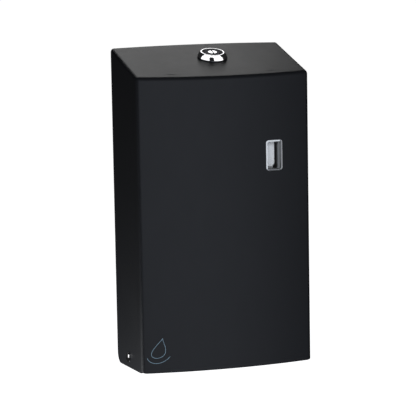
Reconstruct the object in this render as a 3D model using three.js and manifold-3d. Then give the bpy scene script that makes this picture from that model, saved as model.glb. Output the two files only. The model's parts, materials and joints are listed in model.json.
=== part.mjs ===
// A touch-free soap dispenser for a wall. A black steel cover with a bowed front and a sloping top
// swings down on two rivets near its lower edge, once the key lock in its top is turned. Behind it a
// galvanised back plate carries the soap tank, a peristaltic pump with its motor, the battery box and
// the control board with the hand sensor.
//
// Millimetres, +Z up. The wall is the plane y = 0 and the front faces -Y. Heights are measured from the
// front lower edge of the cover; the assembly is lowered at the end, so that the origin lies on the
// wall face, halfway up the back plate.

import * as THREE from 'three';
import { mergeVertices } from 'three/addons/utils/BufferGeometryUtils.js';
import Module from 'manifold-3d';

const wasm = await Module();
wasm.setup();

// ---------------------------------------------------------------- driving dimensions

const originHeight = 118; // height of the wall mount above the cover's front lower edge
const gap = 0.3; // left between pieces that touch

const cover = {
  width: 135,
  sideDepth: 67, // wall to front, at the side edges
  bow: 7.1, // how much further the middle of the front stands out
  frontHeight: 221.5,
  rearRise: 17.7, // how much higher the top is at the wall
  crown: 0.9, // how much higher the top is along its middle
  wall: 1.2,
  cornerRadius: 2.5,
  heelDrop: 3.7, // how much lower the side's lower edge is at the wall
  heelRadius: 8, // lets the heel of the side clear the wall as the cover swings
};
const pivot = { y: -31.9, z: 5.9, holeRadius: 2.85, rivetRadius: 2.5 };
const windowSlot = { x: 37.8, z: 159.8, width: 13.6, height: 23, radius: 2.2, depth: 9.6 };
const windowBore = { lip: 0.7, offset: 0.4 }; // narrowest along the slot's right and lower edges
const lock = { x: 3, y: -32.6, headRadius: 11.5, rimRadius: 9, headHeight: 4.9, barrelRadius: 9.4 };
const plate = { halfWidth: 63.5, thickness: 1.5, top: 235, flangeDepth: 24 };
const tank = { halfWidth: 43, back: -6, front: -54, bottom: 92, top: 203, wall: 2 };
const levelBlock = { x0: 16, x1: 42.1, front: -60.5, bottom: 149.8, top: 192, radius: 3.5 };
const filler = { x: -28, y: -34, neckRadius: 14, boreRadius: 12, capRadius: 17 };
const outlet = { x: 0, y: -50 }; // the tube's vertical line: tank spigot above, nozzle below
const rotorAxis = { x: 24, z: 52 };
const tubeRadius = 3;
const wrapRadius = 15; // rotor axis to the middle of the tube
const roller = { radius: 3.5, orbit: 8.1, boreRadius: 1.8, pinRadius: 1.5 };
const gear = { module: 0.8, wheelTeeth: 28, pinionTeeth: 12 };
const cells = { radius: 7.25, length: 49.5, x: [-47.8, -32.2], y: [-12.6, -28.2] };
const batteryBox = { x0: -58, x1: -22, back: -1.9, front: -40, bottom: 22, top: 84, wall: 2 };

const slope = Math.atan2(cover.rearRise, cover.sideDepth);
const crownSpan = 2 / cover.width;
const frontY = (x) => -(cover.sideDepth + cover.bow * (1 - (x * crownSpan) ** 2));
const topZ = (x, y) =>
  cover.frontHeight + cover.rearRise * (1 + y / cover.sideDepth) + cover.crown * (1 - (x * crownSpan) ** 2);

// ---------------------------------------------------------------- finishes

const finish = (color, roughness, metalness, looks = {}) =>
  new THREE.MeshStandardMaterial({ color, roughness, metalness, ...looks });
const blackPaint = finish(0x26272b, 0.55, 0.2);
const chrome = finish(0xd8d8da, 0.12, 1);
const steel = finish(0x9a9da0, 0.35, 1);
const galvanised = finish(0x8f9396, 0.5, 0.9);
const clearPlastic = finish(0xe6eaec, 0.08, 0, { opacity: 0.35, transparent: true });
const greyPlastic = finish(0x9b9da1, 0.45, 0);
const whitePlastic = finish(0xdedfe0, 0.4, 0);
const milkyPlastic = finish(0xc9cbcf, 0.4, 0);
const darkPlastic = finish(0x2e3034, 0.6, 0);
const bluePlastic = finish(0x2c5f8f, 0.45, 0);
const silicone = finish(0xcfd3d2, 0.35, 0);
const rubber = finish(0x1d1e20, 0.8, 0);
const nylon = finish(0xe2ddcc, 0.5, 0);
const acetal = finish(0xf0ede2, 0.4, 0);
const sensorRed = finish(0x3a0f14, 0.1, 0);
const boardGreen = finish(0x1f5a3a, 0.5, 0);
const cellWrap = finish(0x3b4148, 0.35, 0.3);
const redLead = finish(0xa8262a, 0.5, 0);
const blackLead = finish(0x202124, 0.5, 0);

// ---------------------------------------------------------------- shape helpers

// A closed three.js geometry as a solid that can be cut and joined.
function solid(geometry) {
  const bare = geometry.index ? geometry.toNonIndexed() : geometry.clone();
  bare.deleteAttribute('normal');
  bare.deleteAttribute('uv');
  const merged = mergeVertices(bare, 1e-4);
  return new wasm.Manifold(
    new wasm.Mesh({
      numProp: 3,
      vertProperties: new Float32Array(merged.attributes.position.array),
      triVerts: new Uint32Array(merged.index.array),
    }),
  );
}

const isGeometry = (piece) => piece.isBufferGeometry === true;
const asSolid = (piece) => (isGeometry(piece) ? solid(piece) : piece);
const join = (...pieces) => pieces.map(asSolid).reduce((a, b) => a.add(b));
const cut = (first, ...rest) => rest.map(asSolid).reduce((a, b) => a.subtract(b), asSolid(first));
const common = (...pieces) => pieces.map(asSolid).reduce((a, b) => a.intersect(b));

function geometryOf(made) {
  const mesh = made.getMesh();
  const geometry = new THREE.BufferGeometry();
  geometry.setAttribute('position', new THREE.BufferAttribute(new Float32Array(mesh.vertProperties), 3));
  geometry.setIndex(new THREE.BufferAttribute(new Uint32Array(mesh.triVerts), 1));
  geometry.computeVertexNormals();
  return geometry;
}

function box(x0, x1, y0, y1, z0, z1) {
  const geometry = new THREE.BoxGeometry(x1 - x0, y1 - y0, z1 - z0);
  return geometry.translate((x0 + x1) / 2, (y0 + y1) / 2, (z0 + z1) / 2);
}

const extrude = (shape, depth, curveSegments) =>
  new THREE.ExtrudeGeometry(shape, { depth, curveSegments, bevelEnabled: false });

// A shape drawn in x and y, standing from z0 to z1.
const extrudeZ = (shape, z0, z1, curveSegments = 4) =>
  extrude(shape, z1 - z0, curveSegments).translate(0, 0, z0);

// A shape drawn in x and z, reaching from yFront back to yBack.
const extrudeY = (shape, yFront, yBack, curveSegments = 4) =>
  extrude(shape, yBack - yFront, curveSegments).rotateX(Math.PI / 2).translate(0, yBack, 0);

// A shape drawn in y and z, reaching from x0 to x1.
function extrudeX(shape, x0, x1, curveSegments = 8) {
  const turn = new THREE.Matrix4().makeBasis(
    new THREE.Vector3(0, 1, 0),
    new THREE.Vector3(0, 0, 1),
    new THREE.Vector3(1, 0, 0),
  );
  return extrude(shape, x1 - x0, curveSegments).applyMatrix4(turn).translate(x0, 0, 0);
}

// A round rod with its middle line along z, y or x.
const rodZ = (r, z0, z1, x = 0, y = 0, sides = 16) =>
  new THREE.CylinderGeometry(r, r, z1 - z0, sides).rotateX(Math.PI / 2).translate(x, y, (z0 + z1) / 2);
const rodY = (r, y0, y1, x = 0, z = 0, sides = 16) =>
  new THREE.CylinderGeometry(r, r, y1 - y0, sides).translate(x, (y0 + y1) / 2, z);
const rodX = (r, x0, x1, y = 0, z = 0, sides = 16) =>
  new THREE.CylinderGeometry(r, r, x1 - x0, sides).rotateZ(Math.PI / 2).translate((x0 + x1) / 2, y, z);

// A profile of [radius, height] pairs, listed up the outside and back down the inside, turned about z.
function turned(profile, sides = 16) {
  const points = profile.map(([r, h]) => new THREE.Vector2(r, h));
  const closesOnItself = profile[0][0] > 0;
  if (closesOnItself) points.push(points[0].clone());
  return new THREE.LatheGeometry(points, sides).rotateX(Math.PI / 2);
}

function roundedRectangle(x0, x1, y0, y1, r) {
  const shape = new THREE.Shape();
  shape.moveTo(x0 + r, y0);
  shape.lineTo(x1 - r, y0);
  shape.absarc(x1 - r, y0 + r, r, -Math.PI / 2, 0);
  shape.lineTo(x1, y1 - r);
  shape.absarc(x1 - r, y1 - r, r, 0, Math.PI / 2);
  shape.lineTo(x0 + r, y1);
  shape.absarc(x0 + r, y1 - r, r, Math.PI / 2, Math.PI);
  shape.lineTo(x0, y0 + r);
  shape.absarc(x0 + r, y0 + r, r, Math.PI, Math.PI * 1.5);
  return shape;
}

// Puts a piece into a group as a named mesh.
function part(group, name, piece, material, place = {}) {
  const mesh = new THREE.Mesh(geometryOf(asSolid(piece)), material);
  mesh.name = name;
  mesh.position.set(place.x ?? 0, place.y ?? 0, place.z ?? 0);
  mesh.rotation.set(place.turnX ?? 0, place.turnY ?? 0, place.turnZ ?? 0);
  group.add(mesh);
  return mesh;
}

const assembly = new THREE.Group();

// ---------------------------------------------------------------- cover

// The cover's outline from above: straight sides, small corners and a front bowed as a parabola.
function coverPlan(inset, back) {
  const half = cover.width / 2 - inset;
  const edge = -cover.sideDepth + inset;
  const middle = frontY(0) + inset;
  const near = half - cover.cornerRadius;
  const nearY = middle + (edge - middle) * (near / half) ** 2;
  const bowControl = 2 * middle - nearY; // a parabola is a quadratic curve with this control point
  const shape = new THREE.Shape();
  shape.moveTo(half, back);
  shape.lineTo(-half, back);
  shape.lineTo(-half, edge + cover.cornerRadius);
  shape.quadraticCurveTo(-half, edge, -near, nearY);
  shape.quadraticCurveTo(0, bowControl, near, nearY);
  shape.quadraticCurveTo(half, edge, half, edge + cover.cornerRadius);
  return shape;
}

// Everything under the sloping, slightly crowned top, less an inset measured square to it.
function underTop(inset) {
  const half = cover.width / 2;
  const shape = new THREE.Shape();
  shape.moveTo(-half - 10, -300);
  shape.lineTo(half + 10, -300);
  shape.lineTo(half + 10, -inset);
  shape.lineTo(half, -inset);
  shape.quadraticCurveTo(0, 2 * cover.crown - inset, -half, -inset);
  shape.lineTo(-half - 10, -inset);
  const prism = extrudeY(shape, -140, 80, 8);
  return prism.rotateX(slope).translate(0, 0, cover.frontHeight + cover.rearRise);
}

// The side view's lower edge: level under the front, falling towards the wall and rounded at the heel.
function sideView() {
  const heel = -cover.heelDrop * (1 - cover.heelRadius / cover.sideDepth);
  const shape = new THREE.Shape();
  shape.moveTo(-90, 0);
  shape.lineTo(-cover.sideDepth, 0);
  shape.lineTo(-cover.heelRadius, heel);
  shape.absarc(-cover.heelRadius, heel + cover.heelRadius, cover.heelRadius, -Math.PI / 2, 0);
  shape.lineTo(0, 300);
  shape.lineTo(-90, 300);
  return shape;
}

const windowTilt = Math.atan(2 * cover.bow * windowSlot.x * crownSpan ** 2);
const windowPlace = new THREE.Matrix4()
  .makeRotationZ(windowTilt)
  .setPosition(windowSlot.x, frontY(windowSlot.x), windowSlot.z);
const windowOutline = (grow, offset = 0) =>
  roundedRectangle(
    offset - windowSlot.width / 2 - grow,
    offset + windowSlot.width / 2 + grow,
    -offset - windowSlot.height / 2 - grow,
    -offset + windowSlot.height / 2 + grow,
    Math.max(windowSlot.radius + grow, 0.8),
  );

// The lock stands square to the top: z along its key, y away from the front.
const lockPlace = new THREE.Matrix4().makeRotationX(slope).setPosition(lock.x, lock.y, topZ(lock.x, lock.y));

function coverShell() {
  const outside = common(extrudeZ(coverPlan(0, 0), -20, 280, 8), underTop(0), extrudeX(sideView(), -80, 80));
  const inside = common(extrudeZ(coverPlan(cover.wall, 20), -40, 280, 8), underTop(cover.wall));
  const slot = extrudeY(windowOutline(0), -6, 6).applyMatrix4(windowPlace);
  const lockHole = rodZ(lock.barrelRadius + gap, -8, 8, 0, 0, 32).applyMatrix4(lockPlace);
  const rivetHoles = rodX(pivot.holeRadius, -80, 80, pivot.y, pivot.z);
  return cut(outside, inside, slot, lockHole, rivetHoles);
}
part(assembly, 'cover_shell', coverShell(), blackPaint);

const windowGroup = new THREE.Group();
windowGroup.applyMatrix4(windowPlace);
assembly.add(windowGroup);

// A short tunnel, flanged behind the cover, leads back to the tank. A clear pane closes its mouth.
const windowTunnel = join(
  extrudeY(windowOutline(-gap), 0.1, windowSlot.depth),
  extrudeY(windowOutline(3), cover.wall + 2 * gap, cover.wall + 2 * gap + 1.2),
);
const boreOutline = windowOutline(-gap - windowBore.lip, windowBore.offset);
const tunnelBore = extrudeY(boreOutline, -1, windowSlot.depth + 1);
part(windowGroup, 'window_frame', cut(windowTunnel, tunnelBore), whitePlastic);
const windowPane = extrudeY(windowOutline(-2 * gap - windowBore.lip, windowBore.offset), 0.8, 2.4);
part(windowGroup, 'window_lens', windowPane, clearPlastic);

// ---------------------------------------------------------------- key lock

const lockGroup = new THREE.Group();
lockGroup.applyMatrix4(lockPlace);
assembly.add(lockGroup);

const barrelEnd = -16;
const plugRadius = 7.2;
const lockBarrel = turned(
  [
    [lock.barrelRadius, barrelEnd],
    [lock.barrelRadius, gap],
    [lock.headRadius, gap],
    [lock.headRadius, 1.2],
    [lock.headRadius - 0.35, 2.3],
    [lock.headRadius - 1.2, 3.6],
    [lock.rimRadius, lock.headHeight],
    [lock.rimRadius - 1, lock.headHeight],
    [lock.rimRadius - 1.2, lock.headHeight - 1.6],
    [plugRadius + gap, lock.headHeight - 2],
    [plugRadius + gap, barrelEnd],
  ],
  32,
);
part(lockGroup, 'lock_barrel', lockBarrel, chrome);
const washerTop = -cover.wall - gap;
part(
  lockGroup,
  'lock_washer',
  turned([[13, washerTop - 0.8], [13, washerTop], [9.8, washerTop], [9.8, washerTop - 0.8]]),
  steel,
);
const nutTop = washerTop - 0.8 - gap;
const hexagon = new THREE.CylinderGeometry(13.4, 13.4, 4, 6).rotateX(Math.PI / 2).translate(0, 0, nutTop - 2);
part(lockGroup, 'lock_nut', cut(hexagon, rodZ(9.8, nutTop - 5, nutTop + 1)), steel);

// The plug has a ring-shaped keyway round a slotted centre post, and a square tail.
const plugFace = lock.headHeight - 2;
const postFace = lock.headHeight - 0.1;
const keyway = turned(
  [
    [6.7, plugFace - 6],
    [6.7, plugFace + 1],
    [3.5, plugFace + 1],
    [3.5, plugFace - 6],
  ],
  24,
);
const postSlot = box(-0.5, 0.5, -4, 4, postFace - 1.9, postFace + 1);
const plugTail = box(-3, 3, -3, 3, barrelEnd - 2.6, barrelEnd + 1);
const plugRods = join(
  rodZ(plugRadius, barrelEnd, plugFace, 0, 0, 32),
  rodZ(3.5, barrelEnd, postFace, 0, 0, 24),
);
part(lockGroup, 'lock_plug', cut(join(plugRods, plugTail), keyway, postSlot), chrome);

const camTop = barrelEnd - gap;
const camOutline = new THREE.Shape();
camOutline.absarc(0, 0, 7, Math.PI, 0);
camOutline.lineTo(5.5, 21);
camOutline.absarc(2.5, 21, 3, 0, Math.PI / 2);
camOutline.lineTo(-2.5, 24);
camOutline.absarc(-2.5, 21, 3, Math.PI / 2, Math.PI);
const camPlate = extrudeZ(camOutline, camTop - 2, camTop);
part(lockGroup, 'lock_cam', cut(camPlate, box(-3.3, 3.3, -3.3, 3.3, camTop - 5, camTop + 1)), steel);
const camScrewTop = camTop - 2 - 2 * gap;
const camScrewSlot = box(-3, 3, -0.5, 0.5, camScrewTop - 3, camScrewTop - 1.2);
part(lockGroup, 'cam_screw', cut(rodZ(4, camScrewTop - 2.2, camScrewTop), camScrewSlot), steel);

// ---------------------------------------------------------------- back plate, catch and pivots

// A flange's side view: an ear round the pivot, a long straight run and a tapered top.
function flangeView() {
  const earRadius = 7.4;
  const shape = new THREE.Shape();
  shape.moveTo(-0.5, pivot.z - earRadius);
  shape.lineTo(pivot.y, pivot.z - earRadius);
  shape.absarc(pivot.y, pivot.z, earRadius, -Math.PI / 2, -Math.PI, true);
  shape.lineTo(pivot.y - earRadius, 16);
  shape.lineTo(-plate.flangeDepth, 30);
  shape.lineTo(-plate.flangeDepth, 196);
  shape.lineTo(-8, 214);
  shape.lineTo(-0.5, 214);
  return shape;
}

// A hole that a screw's head passes, with a slot above it for the screw's neck.
function keyhole(x, z) {
  return join(rodY(4.8, -5, 5, x, z), rodY(2.4, -5, 5, x, z + 8), box(x - 2.4, x + 2.4, -5, 5, z, z + 8));
}

function backPlate() {
  const inner = plate.halfWidth - plate.thickness;
  const sheet = box(-plate.halfWidth, plate.halfWidth, -plate.thickness, 0, pivot.z - 7.4, plate.top);
  const flanges = [
    extrudeX(flangeView(), -plate.halfWidth, -inner),
    extrudeX(flangeView(), inner, plate.halfWidth),
  ];
  const topHoles = [-45, 45].map((x) => keyhole(x, 208));
  const lowHoles = [-54, 54].map((x) => rodY(2.4, -5, 5, x, 88.5));
  const rivetHoles = rodX(pivot.holeRadius, -80, 80, pivot.y, pivot.z);
  return cut(join(sheet, ...flanges), ...topHoles, ...lowHoles, rivetHoles);
}
part(assembly, 'back_plate', backPlate(), galvanised);

// The cam turns in behind this upturned lip, which then stops the cover from swinging forward.
const catchX = [16, 32];
const catchShelf = 206.5;
const catchFront = -36.5;
const catchBack = -plate.thickness - gap;
const catchBracket = join(
  box(...catchX, catchBack - 1.5, catchBack, 188, catchShelf + 1.5),
  box(...catchX, catchFront, catchBack, catchShelf, catchShelf + 1.5),
  box(...catchX, catchFront, catchFront + 1.5, catchShelf, 219),
);
const catchRivetHoles = catchX.map((x, i) => rodY(1.9, -8, 0, x + (i ? -4.5 : 4.5), 195));
part(assembly, 'catch_bracket', cut(catchBracket, ...catchRivetHoles), steel);
catchX.forEach((x, i) => {
  const headBack = catchBack - 1.5 - gap;
  const rivet = join(rodY(1.6, headBack - 0.5, catchBack), rodY(2.9, headBack - 1, headBack));
  part(assembly, `catch_rivet_${i + 1}`, rivet, steel, { x: x + (i ? -4.5 : 4.5), z: 195 });
});

// A dome-headed rivet on each side, with a washer that spaces the cover off the flange.
for (const [side, turn] of [['left', Math.PI], ['right', 0]]) {
  const outer = cover.width / 2;
  const rivet = turned(
    [
      [0, 60.2],
      [4, 60.2],
      [4, plate.halfWidth - plate.thickness - gap],
      [pivot.rivetRadius, plate.halfWidth - plate.thickness - gap],
      [pivot.rivetRadius, outer + gap],
      [3.7, outer + gap],
      [3.3, outer + 1.1],
      [2.2, outer + 1.7],
      [0, outer + 1.95],
    ],
    20,
  ).rotateY(Math.PI / 2);
  const washer = cut(
    rodX(6, plate.halfWidth + gap, outer - cover.wall - gap),
    rodX(pivot.holeRadius, 60, 70),
  );
  const place = { y: pivot.y, z: pivot.z, turnZ: turn };
  part(assembly, `pivot_rivet_${side}`, rivet, chrome, place);
  part(assembly, `pivot_washer_${side}`, washer, nylon, place);
}

// ---------------------------------------------------------------- base tray, nozzle and sensor

const trayTop = 2.6;
const sensor = { x0: -33, x1: -11, y0: -54.5, y1: -45.5 };
const board = { x0: -54, x1: -10, y0: -60, y1: -42.6, z0: 9, z1: 10.6 };

const boardPosts = [board.x0 + 4, board.x1 - 4].flatMap((x) =>
  [board.y0 + 3, board.y1 - 3].map((y) => [x, y]),
);

function baseTray() {
  const outline = (inset) => {
    const half = 60 - inset;
    const shape = new THREE.Shape();
    shape.moveTo(half, -1.9 - inset);
    shape.lineTo(-half, -1.9 - inset);
    shape.lineTo(-half, -59 + inset);
    shape.quadraticCurveTo(0, -71 + inset, half, -59 + inset);
    return shape;
  };
  const dish = cut(extrudeZ(outline(0), 0.6, 8), extrudeZ(outline(2), trayTop, 20));
  const posts = boardPosts.flatMap(([x, y]) => [
    rodZ(2, trayTop - 1, board.z0 - gap, x, y, 10),
    rodZ(0.9, trayTop, board.z1 + 0.9, x, y, 10), // the pin that locates the board
  ]);
  const nozzleHole = rodZ(7.2, -5, 12, outlet.x, outlet.y, 24);
  const sensorHole = box(sensor.x0, sensor.x1, sensor.y0, sensor.y1, -5, trayTop + 1);
  return cut(join(dish, ...posts), nozzleHole, sensorHole);
}
part(assembly, 'base_tray', baseTray(), darkPlastic);

const nozzleBody = turned([
  [1.8, 2.2],
  [3.6, 2.2],
  [3.6, -3],
  [4.6, -3],
  [6.6, 0],
  [6.6, trayTop + gap],
  [10, trayTop + gap],
  [10, trayTop + 2.2],
  [5.6, trayTop + 3.6],
  [5, 16],
  [3.4, 16],
  [3.4, 8],
  [1.8, 8],
]);
part(assembly, 'nozzle', nozzleBody, darkPlastic, outlet);

// A soft lip that closes the outlet after each shot: a round plug flattened to a wedge.
const lipProfile = new THREE.Shape();
lipProfile.moveTo(-3.2, 0);
lipProfile.lineTo(-0.7, -4.4);
lipProfile.lineTo(0.7, -4.4);
lipProfile.lineTo(3.2, 0);
lipProfile.lineTo(3.2, 1.9);
lipProfile.lineTo(-3.2, 1.9);
const lipValve = cut(common(extrudeY(lipProfile, -4, 4), rodZ(3.2, -5, 3)), rodZ(1.2, -1, 3, 0, 0, 12));
part(assembly, 'outlet_valve', lipValve, silicone, outlet);

const sensorWindow = box(sensor.x0 + gap, sensor.x1 - gap, sensor.y0 + gap, sensor.y1 - gap, 0.8, trayTop);
part(assembly, 'sensor_window', sensorWindow, sensorRed);

const boardHoles = boardPosts.map(([x, y]) => rodZ(1.25, 5, 15, x, y, 10));
const controlBoard = cut(box(board.x0, board.x1, board.y0, board.y1, board.z0, board.z1), ...boardHoles);
const chips = [
  box(-32, -22, -57, -50, board.z1 - 0.1, board.z1 + 1.6),
  rodZ(3, board.z1 - 0.1, board.z1 + 7, -17, -51, 12),
];
part(assembly, 'control_board', join(controlBoard, ...chips), boardGreen);
for (const [name, x, material] of [['ir_emitter', -28, clearPlastic], ['ir_receiver', -18, rubber]]) {
  const lamp = turned([
    [0, 3.6],
    [1.6, 3.8],
    [2.4, 5],
    [2.4, 7.6],
    [2.9, 7.6],
    [2.9, board.z0 - gap],
    [0, board.z0 - gap],
  ]);
  part(assembly, name, lamp, material, { x, y: outlet.y });
}

// A slide switch that turns the power on, reached with the cover open.
const switchCase = cut(
  box(-48, -37, -58.5, -52, board.z1 + gap, 16),
  box(-46.5, -38.5, -60, -54, 12.6, 14.8),
);
part(assembly, 'switch_case', switchCase, steel);
const switchSlider = join(
  box(-46.2, -42.2, -57.8, -54.3, 12.9, 14.5),
  box(-45.2, -43.2, -60.6, -57, 12.9, 14.5),
);
part(assembly, 'switch_slider', switchSlider, darkPlastic);

// ---------------------------------------------------------------- soap tank

function tankBody(inset) {
  const w = tank.halfWidth - inset;
  return box(-w, w, tank.front + inset, tank.back - inset, tank.bottom + inset, tank.top - inset);
}

function soapTank() {
  const neck = rodZ(filler.neckRadius, tank.top - 1, tank.top + 8, filler.x, filler.y, 28);
  const spigot = rodZ(6, 82, tank.bottom + 1, outlet.x, outlet.y);
  const bores = [
    rodZ(filler.boreRadius, tank.top - 6, tank.top + 20, filler.x, filler.y, 28),
    rodZ(tubeRadius + 0.4, 70, tank.bottom + 8, outlet.x, outlet.y),
  ];
  return cut(join(tankBody(0), neck, spigot), tankBody(tank.wall), ...bores);
}
part(assembly, 'soap_tank', soapTank(), milkyPlastic);

// A milky block on the front of the tank stands behind the window and brings the level close to it.
function levelBlockSolid() {
  const { x0, x1, bottom, top, radius, front } = levelBlock;
  return extrudeY(roundedRectangle(x0, x1, bottom, top, radius), front, tank.front - gap);
}
part(assembly, 'level_block', levelBlockSolid(), milkyPlastic);

const capBase = tank.top + 1.8;
const ribCount = 12;
const ribs = Array.from({ length: ribCount }, (_, i) => {
  const rib = box(filler.capRadius - 0.5, filler.capRadius + 0.8, -1, 1, capBase, capBase + 9);
  return rib.rotateZ((i / ribCount) * 2 * Math.PI);
});
const capShell = cut(
  rodZ(filler.capRadius, capBase, capBase + 10.5, 0, 0, 28),
  rodZ(filler.neckRadius + gap, capBase - 1, tank.top + 8.9, 0, 0, 28),
);
part(assembly, 'tank_cap', join(capShell, ...ribs), bluePlastic, filler);
const sealRing = turned([
  [13.6, tank.top + 8.2],
  [13.6, tank.top + 8.7],
  [11, tank.top + 8.7],
  [11, tank.top + 8.2],
]);
part(assembly, 'cap_seal', sealRing, rubber, filler);

const spigotHole = 9.4;
const cradleTop = tank.bottom - gap;
const cradle = join(
  box(-60, 60, -58, -2, cradleTop - 2.4, cradleTop),
  box(-60, 60, -60, -58, cradleTop - 2.4, cradleTop + 5), // keeps the tank from sliding forward
);
part(assembly, 'tank_cradle', cut(cradle, rodZ(spigotHole, 80, 99, outlet.x, outlet.y)), darkPlastic);
const grommet = turned([[9.1, 87.5], [9.1, cradleTop], [6.3, cradleTop], [6.3, 87.5]]);
part(assembly, 'spigot_grommet', grommet, rubber, outlet);

// ---------------------------------------------------------------- pump

// The tube hangs from the tank's spigot, wraps the far side of the rotor and drops into the nozzle.
class PumpTubePath extends THREE.CurvePath {
  constructor() {
    super();
    const bend = 8;
    const high = rotorAxis.z + wrapRadius;
    const low = rotorAxis.z - wrapRadius;
    const point = (x, z) => new THREE.Vector3(x, outlet.y, z);
    const circlePoint = (angle) =>
      point(rotorAxis.x + wrapRadius * Math.cos(angle), rotorAxis.z + wrapRadius * Math.sin(angle));
    const quarter = 0.5523 * wrapRadius; // handle length that makes a quarter circle
    this.add(new THREE.LineCurve3(point(0, 87), point(0, high + bend)));
    this.add(new THREE.QuadraticBezierCurve3(point(0, high + bend), point(0, high), point(bend, high)));
    this.add(new THREE.LineCurve3(point(bend, high), point(rotorAxis.x, high)));
    for (const start of [Math.PI / 2, 0]) {
      const end = start - Math.PI / 2;
      const a = circlePoint(start);
      const b = circlePoint(end);
      const alongA = point(a.x + Math.sin(start) * quarter, a.z - Math.cos(start) * quarter);
      const alongB = point(b.x - Math.sin(end) * quarter, b.z + Math.cos(end) * quarter);
      this.add(new THREE.CubicBezierCurve3(a, alongA, alongB, b));
    }
    this.add(new THREE.LineCurve3(point(rotorAxis.x, low), point(bend, low)));
    this.add(new THREE.QuadraticBezierCurve3(point(bend, low), point(0, low), point(0, low - bend)));
    this.add(new THREE.LineCurve3(point(0, low - bend), point(0, 9)));
  }
}
const tubeSection = new THREE.Shape().absarc(0, 0, tubeRadius, 0, Math.PI * 2);
const pumpTube = new THREE.ExtrudeGeometry(tubeSection, {
  steps: 40,
  curveSegments: 5,
  extrudePath: new PumpTubePath(),
});
part(assembly, 'pump_tube', pumpTube, silicone);

const pump = { front: -59, floor: -44.5, back: -41, outerRadius: 21.5 };
const pocketRadius = wrapRadius + tubeRadius + 0.5;

// The housing's outline: a round end about the rotor, squared off towards the tube's line.
function housingOutline() {
  const r = pump.outerRadius;
  const left = 6.5;
  const shape = new THREE.Shape();
  shape.moveTo(left, rotorAxis.z - r);
  shape.lineTo(rotorAxis.x, rotorAxis.z - r);
  shape.absarc(rotorAxis.x, rotorAxis.z, r, -Math.PI / 2, Math.PI / 2);
  shape.lineTo(left, rotorAxis.z + r);
  return shape;
}

// Each gear's axis lies one centre distance from the last, in a direction given as an angle in x and z.
const centreDistance = (gear.module * (gear.wheelTeeth + gear.pinionTeeth)) / 2;
const nextAxis = (from, angle) => ({
  x: from.x + centreDistance * Math.cos(angle),
  z: from.z + centreDistance * Math.sin(angle),
});
const outputToCompound = -Math.PI / 6;
const compoundToMotor = (-5 * Math.PI) / 6;
const compoundAxis = nextAxis(rotorAxis, outputToCompound);
const motorAxis = nextAxis(compoundAxis, compoundToMotor);

const coverScrews = [[9.6, 52], [43.2, 62], [43.2, 42]];
const screwHole = (radius) => coverScrews.map(([x, z]) => rodY(radius, -66, pump.front + 6, x, z, 12));

function pumpHousing() {
  const pocket = rodY(pocketRadius, pump.front - 1, pump.floor, rotorAxis.x, rotorAxis.z, 40);
  const channels = [wrapRadius, -wrapRadius].map((offset) => {
    const middle = rotorAxis.z + offset;
    return box(0, rotorAxis.x, pump.front - 1, pump.floor, middle - 3.7, middle + 3.5);
  });
  return cut(
    extrudeY(housingOutline(), pump.front, pump.back, 20),
    pocket,
    ...channels,
    rodY(3, -50, -40, rotorAxis.x, rotorAxis.z),
    rodY(1.8, -43.2, -40, compoundAxis.x, compoundAxis.z, 12),
    ...screwHole(1.4),
  );
}
part(assembly, 'pump_housing', pumpHousing(), greyPlastic);
const lidPlate = extrudeY(housingOutline(), pump.front - 2.4, pump.front - gap, 20);
part(assembly, 'pump_lid', cut(lidPlate, ...screwHole(1.7)), clearPlastic);
coverScrews.forEach(([x, z], i) => {
  const head = rodY(2.8, pump.front - 4.4, pump.front - 2.4 - gap, 0, 0, 16);
  const shank = rodY(1.1, pump.front - 3, pump.front + 5.4, 0, 0, 12);
  const cross = [
    box(-1.6, 1.6, -70, pump.front - 3.6, -0.35, 0.35),
    box(-0.35, 0.35, -70, pump.front - 3.6, -1.6, 1.6),
  ];
  part(assembly, `lid_screw_${i + 1}`, cut(join(head, shank), ...cross), steel, { x, z });
});

// Two discs with three roller pins between them, on a shaft that runs back through the gearbox.
const rotorCentre = { x: rotorAxis.x, z: rotorAxis.z };
const rollerAngles = [0, 1, 2].map((i) => Math.PI / 2 + (i * 2 * Math.PI) / 3);
const rollerOffset = (angle) => [roller.orbit * Math.cos(angle), roller.orbit * Math.sin(angle)];
const rotor = join(
  rodY(10.6, -57.6, -55.6, 0, 0, 30),
  rodY(10.6, -46.6, -44.9, 0, 0, 30),
  rodY(2.5, -57.6, -29.4),
  ...rollerAngles.map((angle) => rodY(roller.pinRadius, -56, -46, ...rollerOffset(angle), 12)),
);
part(assembly, 'pump_rotor', rotor, acetal, rotorCentre);
rollerAngles.forEach((angle, i) => {
  const [x, z] = rollerOffset(angle);
  const body = cut(rodY(roller.radius, -55.2, -47), rodY(roller.boreRadius, -60, -40, 0, 0, 12));
  part(assembly, `pump_roller_${i + 1}`, body, steel, { x: rotorAxis.x + x, z: rotorAxis.z + z });
});

// ---------------------------------------------------------------- gears and motor

// One side of a tooth cut to an involute, as points [radius, half angle of the tooth], root to tip.
function toothFlank(teeth) {
  const pitch = (gear.module * teeth) / 2;
  const pressure = (20 * Math.PI) / 180;
  const base = pitch * Math.cos(pressure);
  const tip = pitch + 0.8 * gear.module;
  const root = pitch - 1.25 * gear.module;
  const involute = (r) => {
    const a = Math.acos(Math.min(1, base / r));
    return Math.tan(a) - a;
  };
  const backlash = 0.24;
  const halfAtPitch = Math.PI / (2 * teeth) - backlash / (2 * pitch);
  const half = (r) => halfAtPitch + involute(pitch) - involute(Math.max(r, base));
  const start = Math.max(root, base);
  const points = [[start, half(start)], [tip, half(tip)]];
  return root < base ? [[root, half(base)], ...points] : points;
}

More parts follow.
